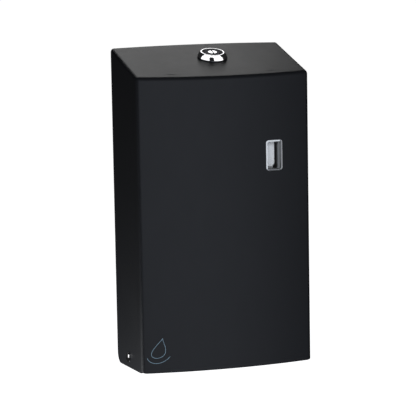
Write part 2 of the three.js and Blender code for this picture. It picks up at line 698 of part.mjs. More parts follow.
function gearShape(teeth, firstTooth) {
  const flank = toothFlank(teeth);
  const shape = new THREE.Shape();
  for (let i = 0; i < teeth; i++) {
    const middle = firstTooth + (i * 2 * Math.PI) / teeth;
    const outline = [
      ...flank.map(([r, half]) => [r, middle - half]),
      ...flank.toReversed().map(([r, half]) => [r, middle + half]),
    ];
    outline.forEach(([r, angle], j) => {
      const move = i === 0 && j === 0 ? 'moveTo' : 'lineTo';
      shape[move](r * Math.cos(angle), r * Math.sin(angle));
    });
  }
  return shape;
}

const meshOffset = Math.PI + Math.PI / gear.pinionTeeth; // a gap of the pinion faces a tooth of the wheel
const outputShape = gearShape(gear.wheelTeeth, outputToCompound);
const outputGear = cut(extrudeY(outputShape, -40.4, -37), rodY(2.8, -50, -30));
part(assembly, 'output_gear', outputGear, acetal, rotorCentre);

const compoundGear = cut(
  join(
    extrudeY(gearShape(gear.pinionTeeth, outputToCompound + meshOffset), -40.4, -36),
    extrudeY(gearShape(gear.wheelTeeth, compoundToMotor), -36.4, -33),
  ),
  rodY(1.8, -50, -30, 0, 0, 12),
);
part(assembly, 'compound_gear', compoundGear, nylon, compoundAxis);
part(assembly, 'compound_axle', rodY(1.5, -43, -29.2, 0, 0, 12), steel, compoundAxis);

const motorPinion = join(
  extrudeY(gearShape(gear.pinionTeeth, compoundToMotor + meshOffset), -36.6, -32.6),
  rodY(1.2, -34, -28.9, 0, 0, 12),
);
part(assembly, 'motor_pinion', motorPinion, steel, motorAxis);

const motorPlate = { front: -31, back: -29 };
const spacers = [[9, 69], [9, 35], [41, 65]];
function motorMount() {
  const face = roundedRectangle(2, 54, 22, 74, 4);
  const legs = [[49, 27], [49, 69], [7, 69]].map(([x, z]) =>
    rodY(3.4, motorPlate.back - 1, -plate.thickness - gap, x, z, 16),
  );
  const posts = spacers.map(([x, z]) => rodY(2.4, pump.back + gap, motorPlate.front + 1, x, z, 16));
  return cut(
    join(extrudeY(face, motorPlate.front, motorPlate.back, 4), ...legs, ...posts),
    rodY(2.8, -40, -20, rotorAxis.x, rotorAxis.z),
    rodY(1.8, -40, -20, compoundAxis.x, compoundAxis.z, 12),
    rodY(3.4, -40, -20, motorAxis.x, motorAxis.z),
  );
}
part(assembly, 'motor_mount', motorMount(), darkPlastic);

const motorFront = motorPlate.back + gap;
const motorCan = cut(
  join(
    rodY(12, motorFront, -6, 0, 0, 28),
    rodY(3, motorFront - 1.6, motorFront + 1),
    ...[-6, 6].map((x) => box(x - 1.2, x + 1.2, -7, -4, -0.4, 0.4)),
  ),
  rodY(1.5, -40, -24, 0, 0, 12),
);
part(assembly, 'drive_motor', motorCan, steel, motorAxis);

// ---------------------------------------------------------------- batteries

const bb = batteryBox;
const batteryCase = cut(
  box(bb.x0, bb.x1, bb.front, bb.back, bb.bottom, bb.top),
  box(bb.x0 + bb.wall, bb.x1 - bb.wall, bb.front - 1, bb.back - 2.4, bb.bottom + bb.wall, bb.top - bb.wall),
);
part(assembly, 'battery_box', batteryCase, darkPlastic);
const doorFace = roundedRectangle(bb.x0, bb.x1, bb.bottom, bb.top, 2);
const doorGrip = box(-44, -36, bb.front - 4, bb.front - 2, bb.top - 8, bb.top - 6);
const doorPanel = extrudeY(doorFace, bb.front - gap - 2, bb.front - gap, 3);
part(assembly, 'battery_door', join(doorPanel, doorGrip), darkPlastic);

const cellBottom = 29;
const cellPlaces = cells.x.flatMap((x) => cells.y.map((y) => [x, y]));
const cell = join(
  rodZ(cells.radius, 0, cells.length - 1, 0, 0, 20),
  rodZ(2.7, cells.length - 2, cells.length, 0, 0, 12),
);
cellPlaces.forEach(([x, y], i) => {
  part(assembly, `battery_${i + 1}`, cell, cellWrap, { x, y, z: cellBottom });
});

// Contact strips at both ends: four cone springs below, four flat pads above.
const strip = (z0, z1) => box(bb.x0 + 4, bb.x1 - 4, bb.front + 6, bb.back - 5, z0, z1);
const stripBottom = bb.bottom + bb.wall + gap;
const cones = cellPlaces.map(([x, y]) =>
  new THREE.CylinderGeometry(2.6, 5, cellBottom - gap - stripBottom, 14)
    .rotateX(Math.PI / 2)
    .translate(x, y, (cellBottom - gap + stripBottom) / 2),
);
part(assembly, 'contact_springs', join(strip(stripBottom, stripBottom + 0.6), ...cones), steel);
const stripTop = bb.top - bb.wall - gap;
const cellTop = cellBottom + cells.length + gap;
const pads = cellPlaces.map(([x, y]) => rodZ(4, cellTop, stripTop, x, y, 14));
part(assembly, 'contact_strip', join(strip(stripTop - 0.6, stripTop), ...pads), steel);

// ---------------------------------------------------------------- leads

function lead(name, points, material) {
  const path = new THREE.CatmullRomCurve3(points.map((p) => new THREE.Vector3(...p)));
  const section = new THREE.Shape().absarc(0, 0, 0.8, 0, Math.PI * 2);
  const wire = new THREE.ExtrudeGeometry(section, { steps: 14, curveSegments: 4, extrudePath: path });
  part(assembly, name, wire, material);
}
const leadEnd = board.z1 + 1;
const motorLead = (x, endX) => [
  [x, -3, motorAxis.z - 2],
  [x - 2, -3.2, motorAxis.z - 8],
  [x - 8, -5, 18],
  [endX + 12, -18, 12],
  [endX + 1, -32, 12.4],
  [endX, -41, 14],
  [endX, -44.6, 13.6],
  [endX, -46, leadEnd],
];
lead('motor_lead_red', motorLead(motorAxis.x + 6, -11.4), redLead);
lead('motor_lead_black', motorLead(motorAxis.x - 6, -20.4), blackLead);
const batteryLead = (x) => [
  [x, -30, bb.bottom - gap],
  [x, -31, 18],
  [x, -36, 14.4],
  [x, -42, 14],
  [x, -44.6, leadEnd],
];
lead('battery_lead_red', batteryLead(-34), redLead);
lead('battery_lead_black', batteryLead(-38), blackLead);

assembly.position.z = -originHeight;
const dispenser = new THREE.Group();
dispenser.name = 'soap_dispenser';
dispenser.add(assembly);

export default dispenser;
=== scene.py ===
# %% [markdown]
# # A lockable soap dispenser for a wall
# The dispenser is a bowed steel cover over a soap tank, a tube pump and a battery box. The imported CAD
# model is loaded first as a fixed frame. Every piece below is built around it, in metres, at the place
# that the frame gives, and then takes the place of the plain CAD solid that it stands for.

# %% Load the frame
import json
import math

import bmesh
import bpy
import numpy as np
from mathutils import Matrix, Vector

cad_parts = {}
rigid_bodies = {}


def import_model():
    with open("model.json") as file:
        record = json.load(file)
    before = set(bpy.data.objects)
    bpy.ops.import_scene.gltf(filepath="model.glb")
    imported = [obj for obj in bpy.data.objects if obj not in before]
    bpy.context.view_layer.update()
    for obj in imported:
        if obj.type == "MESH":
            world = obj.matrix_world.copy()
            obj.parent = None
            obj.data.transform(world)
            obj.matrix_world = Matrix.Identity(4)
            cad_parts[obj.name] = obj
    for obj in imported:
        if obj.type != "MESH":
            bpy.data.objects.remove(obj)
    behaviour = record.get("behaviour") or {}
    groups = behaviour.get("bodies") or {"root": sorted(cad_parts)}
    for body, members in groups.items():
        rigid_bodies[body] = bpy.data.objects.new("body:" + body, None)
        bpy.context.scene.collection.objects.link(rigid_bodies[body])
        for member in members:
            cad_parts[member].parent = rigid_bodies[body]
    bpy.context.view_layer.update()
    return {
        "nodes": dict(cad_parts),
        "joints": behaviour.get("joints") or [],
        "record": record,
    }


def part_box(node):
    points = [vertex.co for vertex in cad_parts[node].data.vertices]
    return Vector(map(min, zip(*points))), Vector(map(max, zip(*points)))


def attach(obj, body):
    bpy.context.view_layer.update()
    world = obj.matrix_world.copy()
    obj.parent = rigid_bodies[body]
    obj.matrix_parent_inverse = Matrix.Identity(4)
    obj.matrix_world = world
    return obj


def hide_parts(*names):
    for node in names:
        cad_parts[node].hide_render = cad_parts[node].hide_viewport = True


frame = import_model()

MM = 0.001
record = frame["record"]
joints = {joint["name"]: joint for joint in frame["joints"]}
slot_of = {row["node"]: row["material_slot"] for row in record["subparts"]}
body_of = {node: body for body, nodes in record["behaviour"]["bodies"].items() for node in nodes}

# %% [markdown]
# The cover sets all the other sizes. Its width is read from the frame. The lower edge of its front is a
# fixed step below the hinge, and the heights in this file are counted from there. The window's slot has
# its sizes here as well, because a finish and several pieces use them.

# %% Main sizes
cover_low, cover_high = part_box("cover_shell")
cover_width = cover_high.x - cover_low.x
half_width = cover_width / 2
hinge = Vector(joints["cover_hinge"]["pos_m"])
floor_of_heights = hinge.z - 5.9 * MM
side_depth = 67 * MM
bow = -cover_low.y - side_depth
front_height = 221.5 * MM
rear_rise = 17.7 * MM
crown = cover_high.z - floor_of_heights - front_height - rear_rise
top_slope = math.atan2(rear_rise, side_depth)
heel_drop = 3.7 * MM
window_width = 13.6 * MM
window_height = 23 * MM
window_centre_x = 37.8 * MM
window_centre_z = floor_of_heights + 159.8 * MM


def front_y(x):
    """The bowed front's depth at a place across its width."""
    return -side_depth - bow * (1 - (x / half_width) ** 2)


print("cover", round(cover_width, 4), "bow", round(bow, 4), "crown", round(crown, 4))

# %% [markdown]
# The camera stands a little to the left and a little above, far away with a long lens, so that the
# upright edges stay nearly parallel. Its place is worked out from the cover: it looks at the middle of the
# cover from a distance of about twelve cover widths, with the picture shifted a little to centre it.

# %% Camera
yaw = math.radians(17.89)
pitch = math.radians(8.08)
roll = math.radians(-1.01)
focal_in_frames = 5.1803
sensor = 36.0
widths_away = 12.2
forward = Vector((math.sin(yaw) * math.cos(pitch), math.cos(yaw) * math.cos(pitch), -math.sin(pitch)))
level_right = Vector((math.cos(yaw), -math.sin(yaw), 0))
level_up = level_right.cross(forward)
right = math.cos(roll) * level_right + math.sin(roll) * level_up
up = -math.sin(roll) * level_right + math.cos(roll) * level_up
aim = Vector((0, -0.24845 * cover_width, floor_of_heights + 0.8202 * cover_width))
camera_place = aim - cover_width * (widths_away * forward + 0.0197 * right - 0.0456 * up)
camera = bpy.data.objects.new("camera", bpy.data.cameras.new("camera"))
camera.data.sensor_width = sensor
camera.data.lens = sensor * focal_in_frames
facing = Matrix((right, up, -forward)).transposed().to_4x4()
camera.matrix_world = Matrix.Translation(camera_place) @ facing
bpy.context.collection.objects.link(camera)
bpy.context.scene.camera = camera
bpy.context.scene.view_settings.view_transform = "Standard"
print("lens", round(camera.data.lens, 1), "mm, distance", round((camera_place - aim).length, 3), "m")

# %% [markdown]
# The studio is a pale floor, a white background and soft lights. A small panel above and behind lights
# the sloping top. A key lamp in front lights the rest and is hidden from reflections. A broad soft panel
# is what the front's satin paint mirrors, and a low lamp picks out the lower left side.
#
# Black paint and chrome need opposite things: the paint wants soft even light, and the chrome wants
# bright cards with dark gaps between them. So the cards are linked to the chrome alone, and the broad
# panel and the low lamp leave out the chrome and the window's pane. The floor is hidden from
# reflections, which keeps the side of the cover dark.

# %% Studio
floor_height = -0.33
floor_span = 30


def stage_plane(name, span, height):
    corners = [(-span, -span, height), (span, -span, height), (span, span, height), (-span, span, height)]
    mesh = bpy.data.meshes.new(name)
    mesh.from_pydata(corners, [], [(0, 1, 2, 3)])
    plane = bpy.data.objects.new(name, mesh)
    bpy.context.collection.objects.link(plane)
    return plane


studio_floor = stage_plane("studio_floor", floor_span, floor_height)
studio_floor.visible_glossy = False
studio_floor.visible_diffuse = False
studio_floor.visible_shadow = False


def panel_light(name, azimuth, elevation, distance, width, height, radiance, tint=(1, 1, 1)):
    """A soft rectangular light that faces the dispenser. Azimuth 0 is in front, 90 on the right.
    Radiance is how bright it looks: 1 is white."""
    a = math.radians(azimuth)
    e = math.radians(elevation)
    outward = Vector((math.sin(a) * math.cos(e), -math.cos(a) * math.cos(e), math.sin(e)))
    data = bpy.data.lights.new(name, "AREA")
    data.shape = "RECTANGLE"
    data.size = width
    data.size_y = height
    data.energy = radiance * math.pi * width * height
    data.color = tint
    light = bpy.data.objects.new(name, data)
    light.location = outward * distance
    light.rotation_euler = outward.to_track_quat("Z", "Y").to_euler()
    light.visible_camera = False
    bpy.context.collection.objects.link(light)
    return light


# %% [markdown]
# A light's receiver collection says what it reaches. One collection lists the chrome, for the cards. The
# other lists what the broad panel and the low lamp leave out, so each member is marked as excluded.

# %% Which light reaches what
card_targets = bpy.data.collections.new("card_targets")
panel_reach = bpy.data.collections.new("panel_reach")


def keep_off_panel(piece):
    """The broad panel and the low lamp neither light this piece nor are mirrored in it."""
    panel_reach.objects.link(piece)
    newest = len(panel_reach.objects) - 1
    panel_reach.collection_objects[newest].light_linking.link_state = "EXCLUDE"


def mark_chrome(piece):
    """Chrome mirrors the cards, and neither the broad panel nor the low lamp."""
    card_targets.objects.link(piece)
    keep_off_panel(piece)


def card(name, azimuth, low, high, width, radiance=1.6):
    """An upright card that only the chrome mirrors, between two elevations."""
    bottom = card_distance * math.tan(math.radians(low))
    top = card_distance * math.tan(math.radians(high))
    made = panel_light(name, azimuth, 0, card_distance, width, top - bottom, radiance)
    made.location.z += (bottom + top) / 2
    made.light_linking.receiver_collection = card_targets
    return made


# %% Lights
card_distance = 2.0
cool = (0.93, 0.96, 1.0)
cooler = (0.82, 0.88, 1.0)
panel_light("top_panel", 168, 42, 0.8, 0.4, 0.4, 2.2)
key_lamp = panel_light("key_lamp", -18, 12, 2.0, 1.2, 1.2, 11.0, cool)
key_lamp.visible_glossy = False
front_panel = panel_light("front_panel", 4, -8, 2.0, 2.2, 2.4, 1.45, cooler)
front_panel.light_linking.receiver_collection = panel_reach
low_lamp = panel_light("low_lamp", -90, -50, 0.31, 0.1, 0.1, 30.0, cool)
low_lamp.light_linking.receiver_collection = panel_reach
card("right_card", 35, -6, 64, 2.9)
card("left_card", -71, -6, 64, 2.9)
card("high_card", -20, 52, 66, 2.0)

# %% [markdown]
# Node trees are written as expressions. `Field` wraps a node's output, and arithmetic on it adds Math
# nodes. `Tree.add` makes any other node from its type, its settings and what goes into its sockets. The
# same two classes serve materials and Geometry Nodes.


# %% Expressions for node trees
class Field:
    """One output of a node. Arithmetic on it adds Math nodes to its tree."""

    def __init__(self, tree, socket):
        self.tree = tree
        self.socket = socket

    def math(self, operation, *operands):
        return self.tree.add("ShaderNodeMath", {"operation": operation}, operands)

    def __add__(self, other):
        return self.math("ADD", self, other)

    __radd__ = __add__

    def __sub__(self, other):
        return self.math("SUBTRACT", self, other)

    def __rsub__(self, other):
        return self.math("SUBTRACT", other, self)

    def __mul__(self, other):
        return self.math("MULTIPLY", self, other)

    __rmul__ = __mul__

    def __truediv__(self, other):
        return self.math("DIVIDE", self, other)

    def __pow__(self, other):
        return self.math("POWER", self, other)

    def clamp(self, low, high):
        return self.math("MINIMUM", self.math("MAXIMUM", self, low), high)


class Tree:
    """A node tree that is being built."""

    def __init__(self, group):
        self.group = group

    def add(self, kind, settings=(), inputs=(), output=0):
        """Makes a node, sets it up, joins its inputs by name or by order, and returns an output."""
        node = self.group.nodes.new(kind)
        for name, value in dict(settings).items():
            setattr(node, name, value)
        named = inputs.items() if isinstance(inputs, dict) else enumerate(inputs)
        for key, value in named:
            if isinstance(value, Field):
                self.group.links.new(value.socket, node.inputs[key])
            else:
                node.inputs[key].default_value = value
        return Field(self, node.outputs[output])


# %% [markdown]
# Every finish starts from the Principled shader. A finish gives it constant values, which are set on its
# sockets, and fields for what changes over the surface: colour, roughness and a bump. Patterns are laid
# in Object coordinates, in metres, so their scale is that of the real surface.


# %% Finishes: common parts
class Finish(Tree):
    """A material with a Principled shader, whose varying inputs are fields."""

    def __init__(self, name, **constants):
        self.material = bpy.data.materials.new(name)
        self.material.use_nodes = True
        super().__init__(self.material.node_tree)
        self.shader = self.group.nodes["Principled BSDF"]
        for label, value in constants.items():
            self.shader.inputs[label.replace("_", " ").title().replace("Ior", "IOR")].default_value = value
        self.place = self.add("ShaderNodeTexCoord", output="Object")

    def noise(self, size, detail=2.0, stretch=(1, 1, 1)):
        """Soft random patches about as wide as size, between 0 and 1."""
        scaled = self.add("ShaderNodeMapping", {}, {"Vector": self.place, "Scale": stretch})
        settings = {"Vector": scaled, "Scale": 1 / size, "Detail": detail}
        return self.add("ShaderNodeTexNoise", {}, settings)

    def along(self, axis):
        """How far a point lies along an axis of the frame: 0 is X, 1 is Y and 2 is Z."""
        return self.add("ShaderNodeSeparateXYZ", {}, [self.place], output=axis)

    def blend(self, amount, first, second):
        """A colour between two others."""
        kind = {"data_type": "RGBA", "clamp_factor": True}
        return self.add("ShaderNodeMix", kind, {"Factor": amount, 6: first, 7: second}, output=2)

    def varies(self, label, field):
        self.group.links.new(field.socket, self.shader.inputs[label])

    def bump(self, height, depth):
        """Raises the surface by a field between 0 and 1, times a depth in metres."""
        settings = {"Strength": 1.0, "Distance": depth, "Height": height}
        self.varies("Normal", self.add("ShaderNodeBump", {}, settings))


def colour(red, green, blue):
    return (red, green, blue, 1)


finishes = {}


# %% [markdown]
# The cover is powder coated. The coat melts into a satin skin with a faint orange peel about half a
# millimetre across, and it takes on a slightly uneven sheen where it is handled.

# %% Finish: black powder coat
def black_paint():
    coat = Finish("black_paint", specular_ior_level=0.25)
    peel = coat.noise(0.9 * MM, 3)
    grain = coat.noise(0.25 * MM, 1)
    cloud = coat.noise(60 * MM, 3)
    wear = coat.noise(9 * MM, 4, (1, 1, 0.4))
    shade = coat.blend(cloud, colour(0.0042, 0.0044, 0.0051), colour(0.0052, 0.0054, 0.0062))
    coat.varies("Base Color", shade)
    coat.varies("Roughness", 0.44 + 0.06 * cloud + 0.05 * wear)
    coat.bump(0.7 * peel + 0.3 * grain, 0.035 * MM)
    return coat.material


finishes["black_paint"] = black_paint()


# %% [markdown]
# Metals. Chrome is a mirror with hairline wipe marks. Bright zinc is duller, with a fine brushed grain.
# Galvanised sheet shows the crystals of its zinc, which a Voronoi texture draws as flat patches.

# %% Finishes: metals
def chrome():
    metal = Finish("chrome_lock", metallic=1.0)
    haze = metal.noise(3 * MM, 4)
    metal.varies("Base Color", metal.blend(haze, colour(0.80, 0.80, 0.81), colour(0.72, 0.72, 0.74)))
    metal.varies("Roughness", 0.04 + 0.06 * haze)
    metal.bump(metal.noise(0.4 * MM, 2), 0.002 * MM)
    return metal.material


def bright_steel():
    metal = Finish("bright_steel", metallic=1.0)
    grain = metal.noise(2.0 * MM, 5, (1, 1, 12))
    stain = metal.noise(7 * MM, 3)
    metal.varies("Base Color", metal.blend(stain, colour(0.50, 0.50, 0.50), colour(0.62, 0.62, 0.60)))
    metal.varies("Roughness", 0.22 + 0.18 * grain)
    metal.bump(grain, 0.006 * MM)
    return metal.material


def galvanised_steel():
    metal = Finish("galvanised_steel", metallic=0.9)
    pattern = {"Vector": metal.place, "Scale": 1 / (6 * MM)}
    crystal = metal.add("ShaderNodeTexVoronoi", {}, pattern, output="Color")
    shade = metal.add("ShaderNodeSeparateColor", {}, [crystal])
    cloud = metal.noise(25 * MM, 3)
    metal.varies("Base Color", metal.blend(shade, colour(0.36, 0.37, 0.38), colour(0.50, 0.51, 0.52)))
    metal.varies("Roughness", 0.34 + 0.14 * shade + 0.08 * cloud)
    metal.bump(metal.noise(0.8 * MM, 2), 0.01 * MM)
    return metal.material


def keyway_black():
    """Painted shade for the walls inside the lock's keyway and recess: a near-black colour with faint
    streaks, where they lie in shade.
    """
    metal = Finish("keyway_black", metallic=0.4)
    streak = metal.noise(0.8 * MM, 3, (1, 1, 0.15))
    metal.varies("Base Color", metal.blend(streak, colour(0.012, 0.012, 0.013), colour(0.05, 0.05, 0.052)))
    metal.varies("Roughness", 0.35 + 0.2 * streak)
    metal.bump(streak, 0.01 * MM)
    return metal.material


finishes["chrome_lock"] = chrome()
finishes["keyway_black"] = keyway_black()
finishes["bright_steel"] = bright_steel()
finishes["galvanised_steel"] = galvanised_steel()


# %% [markdown]
# Plastics share one recipe: a body colour that drifts a little, a moulded texture as fine bump, and a
# gloss. Only the numbers differ, so one function makes them all. Clear parts let light straight through
# and reflect more at a glance, which a Fresnel field on Alpha gives.

# %% Finishes: plastics
def plastic(name, dark, light, gloss_roughness, texture_size, texture_depth, **constants):
    body = Finish(name, **constants)
    drift = body.noise(18 * MM, 3)
    texture = body.noise(texture_size, 2)
    body.varies("Base Color", body.blend(drift, colour(*dark), colour(*light)))
    body.varies("Roughness", gloss_roughness + 0.08 * texture + 0.04 * drift)
    body.bump(texture, texture_depth)
    return body.material


def clear_plastic():
    body = Finish("clear_window", ior=1.5)
    haze = body.noise(5 * MM, 3)
    edge_glint = body.add("ShaderNodeFresnel", {}, {"IOR": 1.5})
    body.varies("Base Color", body.blend(haze, colour(0.05, 0.05, 0.05), colour(0.03, 0.03, 0.03)))
    body.varies("Roughness", 0.05 + 0.06 * haze)
    body.varies("Alpha", (0.02 + 0.03 * haze + edge_glint).clamp(0, 1))
    return body.material


plastics = {
    "milky_tank": ((0.54, 0.55, 0.56), (0.60, 0.61, 0.62), 0.34, 1.6 * MM, 0.02 * MM),
    "grey_plastic": ((0.27, 0.28, 0.30), (0.31, 0.32, 0.34), 0.50, 0.5 * MM, 0.02 * MM),
    "dark_plastic": ((0.020, 0.021, 0.024), (0.030, 0.031, 0.035), 0.48, 0.5 * MM, 0.02 * MM),
    "blue_cap": ((0.020, 0.09, 0.23), (0.030, 0.12, 0.28), 0.36, 0.8 * MM, 0.01 * MM),
    "silicone": ((0.55, 0.58, 0.57), (0.66, 0.69, 0.68), 0.30, 1.2 * MM, 0.008 * MM),
    "black_rubber": ((0.010, 0.010, 0.011), (0.017, 0.017, 0.018), 0.70, 0.6 * MM, 0.02 * MM),
    "nylon": ((0.66, 0.62, 0.50), (0.74, 0.70, 0.58), 0.42, 0.7 * MM, 0.01 * MM),
    "acetal": ((0.80, 0.78, 0.70), (0.86, 0.84, 0.77), 0.30, 0.7 * MM, 0.008 * MM),
    "sensor_red": ((0.035, 0.004, 0.006), (0.055, 0.006, 0.010), 0.10, 1.5 * MM, 0.002 * MM),
    "lead_red": ((0.34, 0.015, 0.018), (0.42, 0.022, 0.025), 0.38, 0.8 * MM, 0.01 * MM),
    "lead_black": ((0.012, 0.012, 0.014), (0.020, 0.020, 0.022), 0.38, 0.8 * MM, 0.01 * MM),
}
for plastic_name, numbers in plastics.items():
    finishes[plastic_name] = plastic(plastic_name, *numbers)
finishes["clear_window"] = clear_plastic()


# %% [markdown]
# The window's frame is a grey tunnel. Its near edges, left and top, are painted a pale milky grey as a
# painted highlight, and its far and lower edges a dark grey as painted shade. Inside it is grey, and it is
# painted almost black as painted shade where it lies more than 2.5 mm behind the front. Where the colour
# changes is worked out from the slot in the cover.

# %% Finishes: window frame
def window_edge():
    body = Finish("window_edge", specular_ior_level=0.3)
    far_edge = window_centre_x + window_width / 2 - 2 * MM
    low_edge = window_centre_z - window_height / 2 + 1.3 * MM
    far = ((body.along(0) - far_edge) / (0.2 * MM)).clamp(0, 1)
    low = ((low_edge - body.along(2)) / (0.2 * MM)).clamp(0, 1)
    grain = body.noise(0.6 * MM, 2)
    # Painted light and shade: the near edges get a pale colour as a painted highlight, and the far and
    # lower edges, where shade falls, a dark grey.
    far_low_painted_shade = far.math("MAXIMUM", far, low)
    body.varies("Base Color", body.blend(far_low_painted_shade, colour(0.44, 0.45, 0.46), colour(0.13, 0.13, 0.14)))
    body.varies("Roughness", 0.4 + 0.1 * grain)
    body.bump(grain, 0.005 * MM)
    return body.material


def tunnel_grey():
    body = Finish("tunnel_grey", specular_ior_level=0.2)
    # Painted shade: more than 2.5 mm behind the front the tunnel is painted almost black, where shade falls
    # inside it.
    painted_deep_shade = ((body.along(1) + side_depth - 2.5 * MM) / (0.3 * MM)).clamp(0, 1)
    cloud = body.noise(4 * MM, 3)
    grey = body.blend(cloud, colour(0.27, 0.28, 0.29), colour(0.31, 0.32, 0.33))
    body.varies("Base Color", body.blend(painted_deep_shade, grey, colour(0.008, 0.008, 0.009)))
    body.varies("Roughness", 0.45 + 0.1 * cloud)
    body.bump(body.noise(0.5 * MM, 2), 0.01 * MM)
    return body.material


finishes["window_edge"] = window_edge()
finishes["tunnel_grey"] = tunnel_grey()


# %% [markdown]
# Last come the printed finishes: the circuit board, the battery's sleeve and the sign's ink, each with
# a pattern or a speckle of its own, and the floor, which gives off its own white light.

# %% Finishes: board, battery, ink and floor
def board_green():
    """Solder mask, with the pale lines of copper tracks under it."""
    body = Finish("board_green")
    pattern = {"Vector": body.place, "Scale": 1 / (4 * MM)}
    tracks = body.add("ShaderNodeTexBrick", {"offset": 0.5}, pattern, output=1)
    drift = body.noise(6 * MM, 2)
    body.varies("Base Color", body.blend(tracks * 0.6, colour(0.010, 0.10, 0.04), colour(0.03, 0.20, 0.08)))
    body.varies("Roughness", 0.32 + 0.1 * drift)
    body.bump(tracks, 0.02 * MM)
    return body.material


def cell_wrap():
    """The printed sleeve of a battery: dark grey, with a copper coloured band at the positive end."""
    body = Finish("cell_wrap", metallic=0.25)
    band_start = floor_of_heights + 66 * MM
    band = ((body.along(2) - band_start) / (0.2 * MM)).clamp(0, 1)
    scuffs = body.noise(2.5 * MM, 4)
    body.varies("Base Color", body.blend(band, colour(0.035, 0.038, 0.045), colour(0.42, 0.20, 0.09)))
    body.varies("Roughness", 0.24 + 0.14 * scuffs)
    body.bump(scuffs, 0.01 * MM)
    return body.material


def print_ink():
    """The pale screen print of the drop sign."""
    ink = Finish("print_ink")
    speckle = ink.noise(0.6 * MM, 2)
    ink.varies("Base Color", ink.blend(speckle, colour(0.09, 0.14, 0.175), colour(0.12, 0.175, 0.21)))
    ink.varies("Roughness", 0.45 + 0.1 * speckle)
    return ink.material


def floor_paint():
    ground = Finish("floor_paint", roughness=0.9)
    cloud = ground.noise(0.6, 2)
    ground.varies("Base Color", ground.blend(cloud, colour(0.90, 0.90, 0.90), colour(0.93, 0.93, 0.93)))
    ground.shader.inputs["Emission Color"].default_value = (1, 1, 1, 1)
    ground.shader.inputs["Emission Strength"].default_value = 1.0
    return ground.material


finishes["board_green"] = board_green()
finishes["cell_wrap"] = cell_wrap()
ink_finish = print_ink()
studio_floor.data.materials.append(floor_paint())
print("finishes", len(finishes))

# %% [markdown]
# The background is white to the camera. What lights the piece is a dark grey room, so that the panels
# alone shape the reflections. A Light Path node in the world tells the two apart.

# %% World
world = bpy.data.worlds.new("studio")
world.use_nodes = True
bpy.context.scene.world = world
sky = Tree(world.node_tree)
background = world.node_tree.nodes["Background"]
seen = sky.add("ShaderNodeLightPath", output="Is Camera Ray")
room_grey = 0.02
sky_shade = seen * (1.0 - room_grey) + room_grey
world.node_tree.links.new(sky_shade.socket, background.inputs["Strength"])
background.inputs["Color"].default_value = (1, 1, 1, 1)

# %% [markdown]
# Making a piece. `as_piece` gives a finished mesh the finish that its node's slot names, or one that is
# given, its smooth shading and its body, and hides the CAD nodes that it stands for. `applied` turns an
# object with modifiers into a plain mesh object.


# %% Helpers for pieces
def applied(carrier):
    """A plain object that holds the carrier's evaluated mesh. The carrier is removed."""
    graph = bpy.context.evaluated_depsgraph_get()
    mesh = bpy.data.meshes.new_from_object(carrier.evaluated_get(graph))
    name = carrier.name
    bpy.data.objects.remove(carrier)
    made = bpy.data.objects.new(name, mesh)
    bpy.context.collection.objects.link(made)
    return made


def even_normals(made):
    """Shades large faces flat and lets only their rounded edges turn the light."""
    made.modifiers.new("even_normals", "WEIGHTED_NORMAL").keep_sharp = True
    graph = bpy.context.evaluated_depsgraph_get()
    made.data = bpy.data.meshes.new_from_object(made.evaluated_get(graph))
    made.modifiers.clear()


def as_piece(made, *nodes, finish=None, smooth_angle=35):
    """Finishes a piece that takes the place of CAD nodes, all on one body."""
    slot = slot_of[nodes[0]]
    mesh = made.data
    if not mesh.materials:
        mesh.materials.append(finish or finishes[slot])
    mesh.shade_smooth()
    mesh.set_sharp_from_angle(angle=math.radians(smooth_angle))
    even_normals(made)
    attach(made, body_of[nodes[0]])
    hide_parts(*nodes)
    return made


def from_bmesh(name, shape):
    bmesh.ops.recalc_face_normals(shape, faces=shape.faces)
    mesh = bpy.data.meshes.new(name)
    shape.to_mesh(mesh)
    shape.free()
    made = bpy.data.objects.new(name, mesh)
    bpy.context.collection.objects.link(made)
    return made


def rounded_edges(made, radius, segments=3, angle=40):
    """Adds a bevel to the sharp edges."""
    bevel = made.modifiers.new("rounded_edges", "BEVEL")
    bevel.width = radius
    bevel.segments = segments
    bevel.limit_method = "ANGLE"
    bevel.angle_limit = math.radians(angle)
    bevel.use_clamp_overlap = True
    return made


def boolean(made, tool, operation="DIFFERENCE"):
    """Cuts a piece with a tool, or joins the two, and removes the tool."""
    step = made.modifiers.new("cut", "BOOLEAN")
    step.operation = operation
    step.solver = "EXACT"
    step.object = tool
    result = applied(made)
    bpy.data.objects.remove(tool)
    return result


def place_mesh(made, matrix):
    made.data.transform(matrix)
    return made


# %% [markdown]
# Lathe work. Screws, rivets, caps, cells, nozzles and the lock are all turned: a short profile spun
# round an axis. The spin is welded at its seam and on the axis, so that the solid is closed.


# %% Helper for turned pieces
def turned(name, profile, steps=64):
    """Spins [radius, height] pairs, in millimetres, round Z. It closes on itself or on the axis."""
    shape = bmesh.new()
    points = [shape.verts.new((r * MM, 0, h * MM)) for r, h in profile]
    closes_on_axis = profile[0][0] == 0 and profile[-1][0] == 0
    edges = [shape.edges.new(pair) for pair in zip(points, points[1:])]
    if not closes_on_axis:
        edges.append(shape.edges.new((points[-1], points[0])))
    upwards = {"cent": (0, 0, 0), "axis": (0, 0, 1)}
    whole = {"angle": math.tau, "steps": steps, "use_merge": True}
    bmesh.ops.spin(shape, geom=points + edges, **upwards, **whole)
    bmesh.ops.remove_doubles(shape, verts=shape.verts, dist=1e-6)
    return from_bmesh(name, shape)


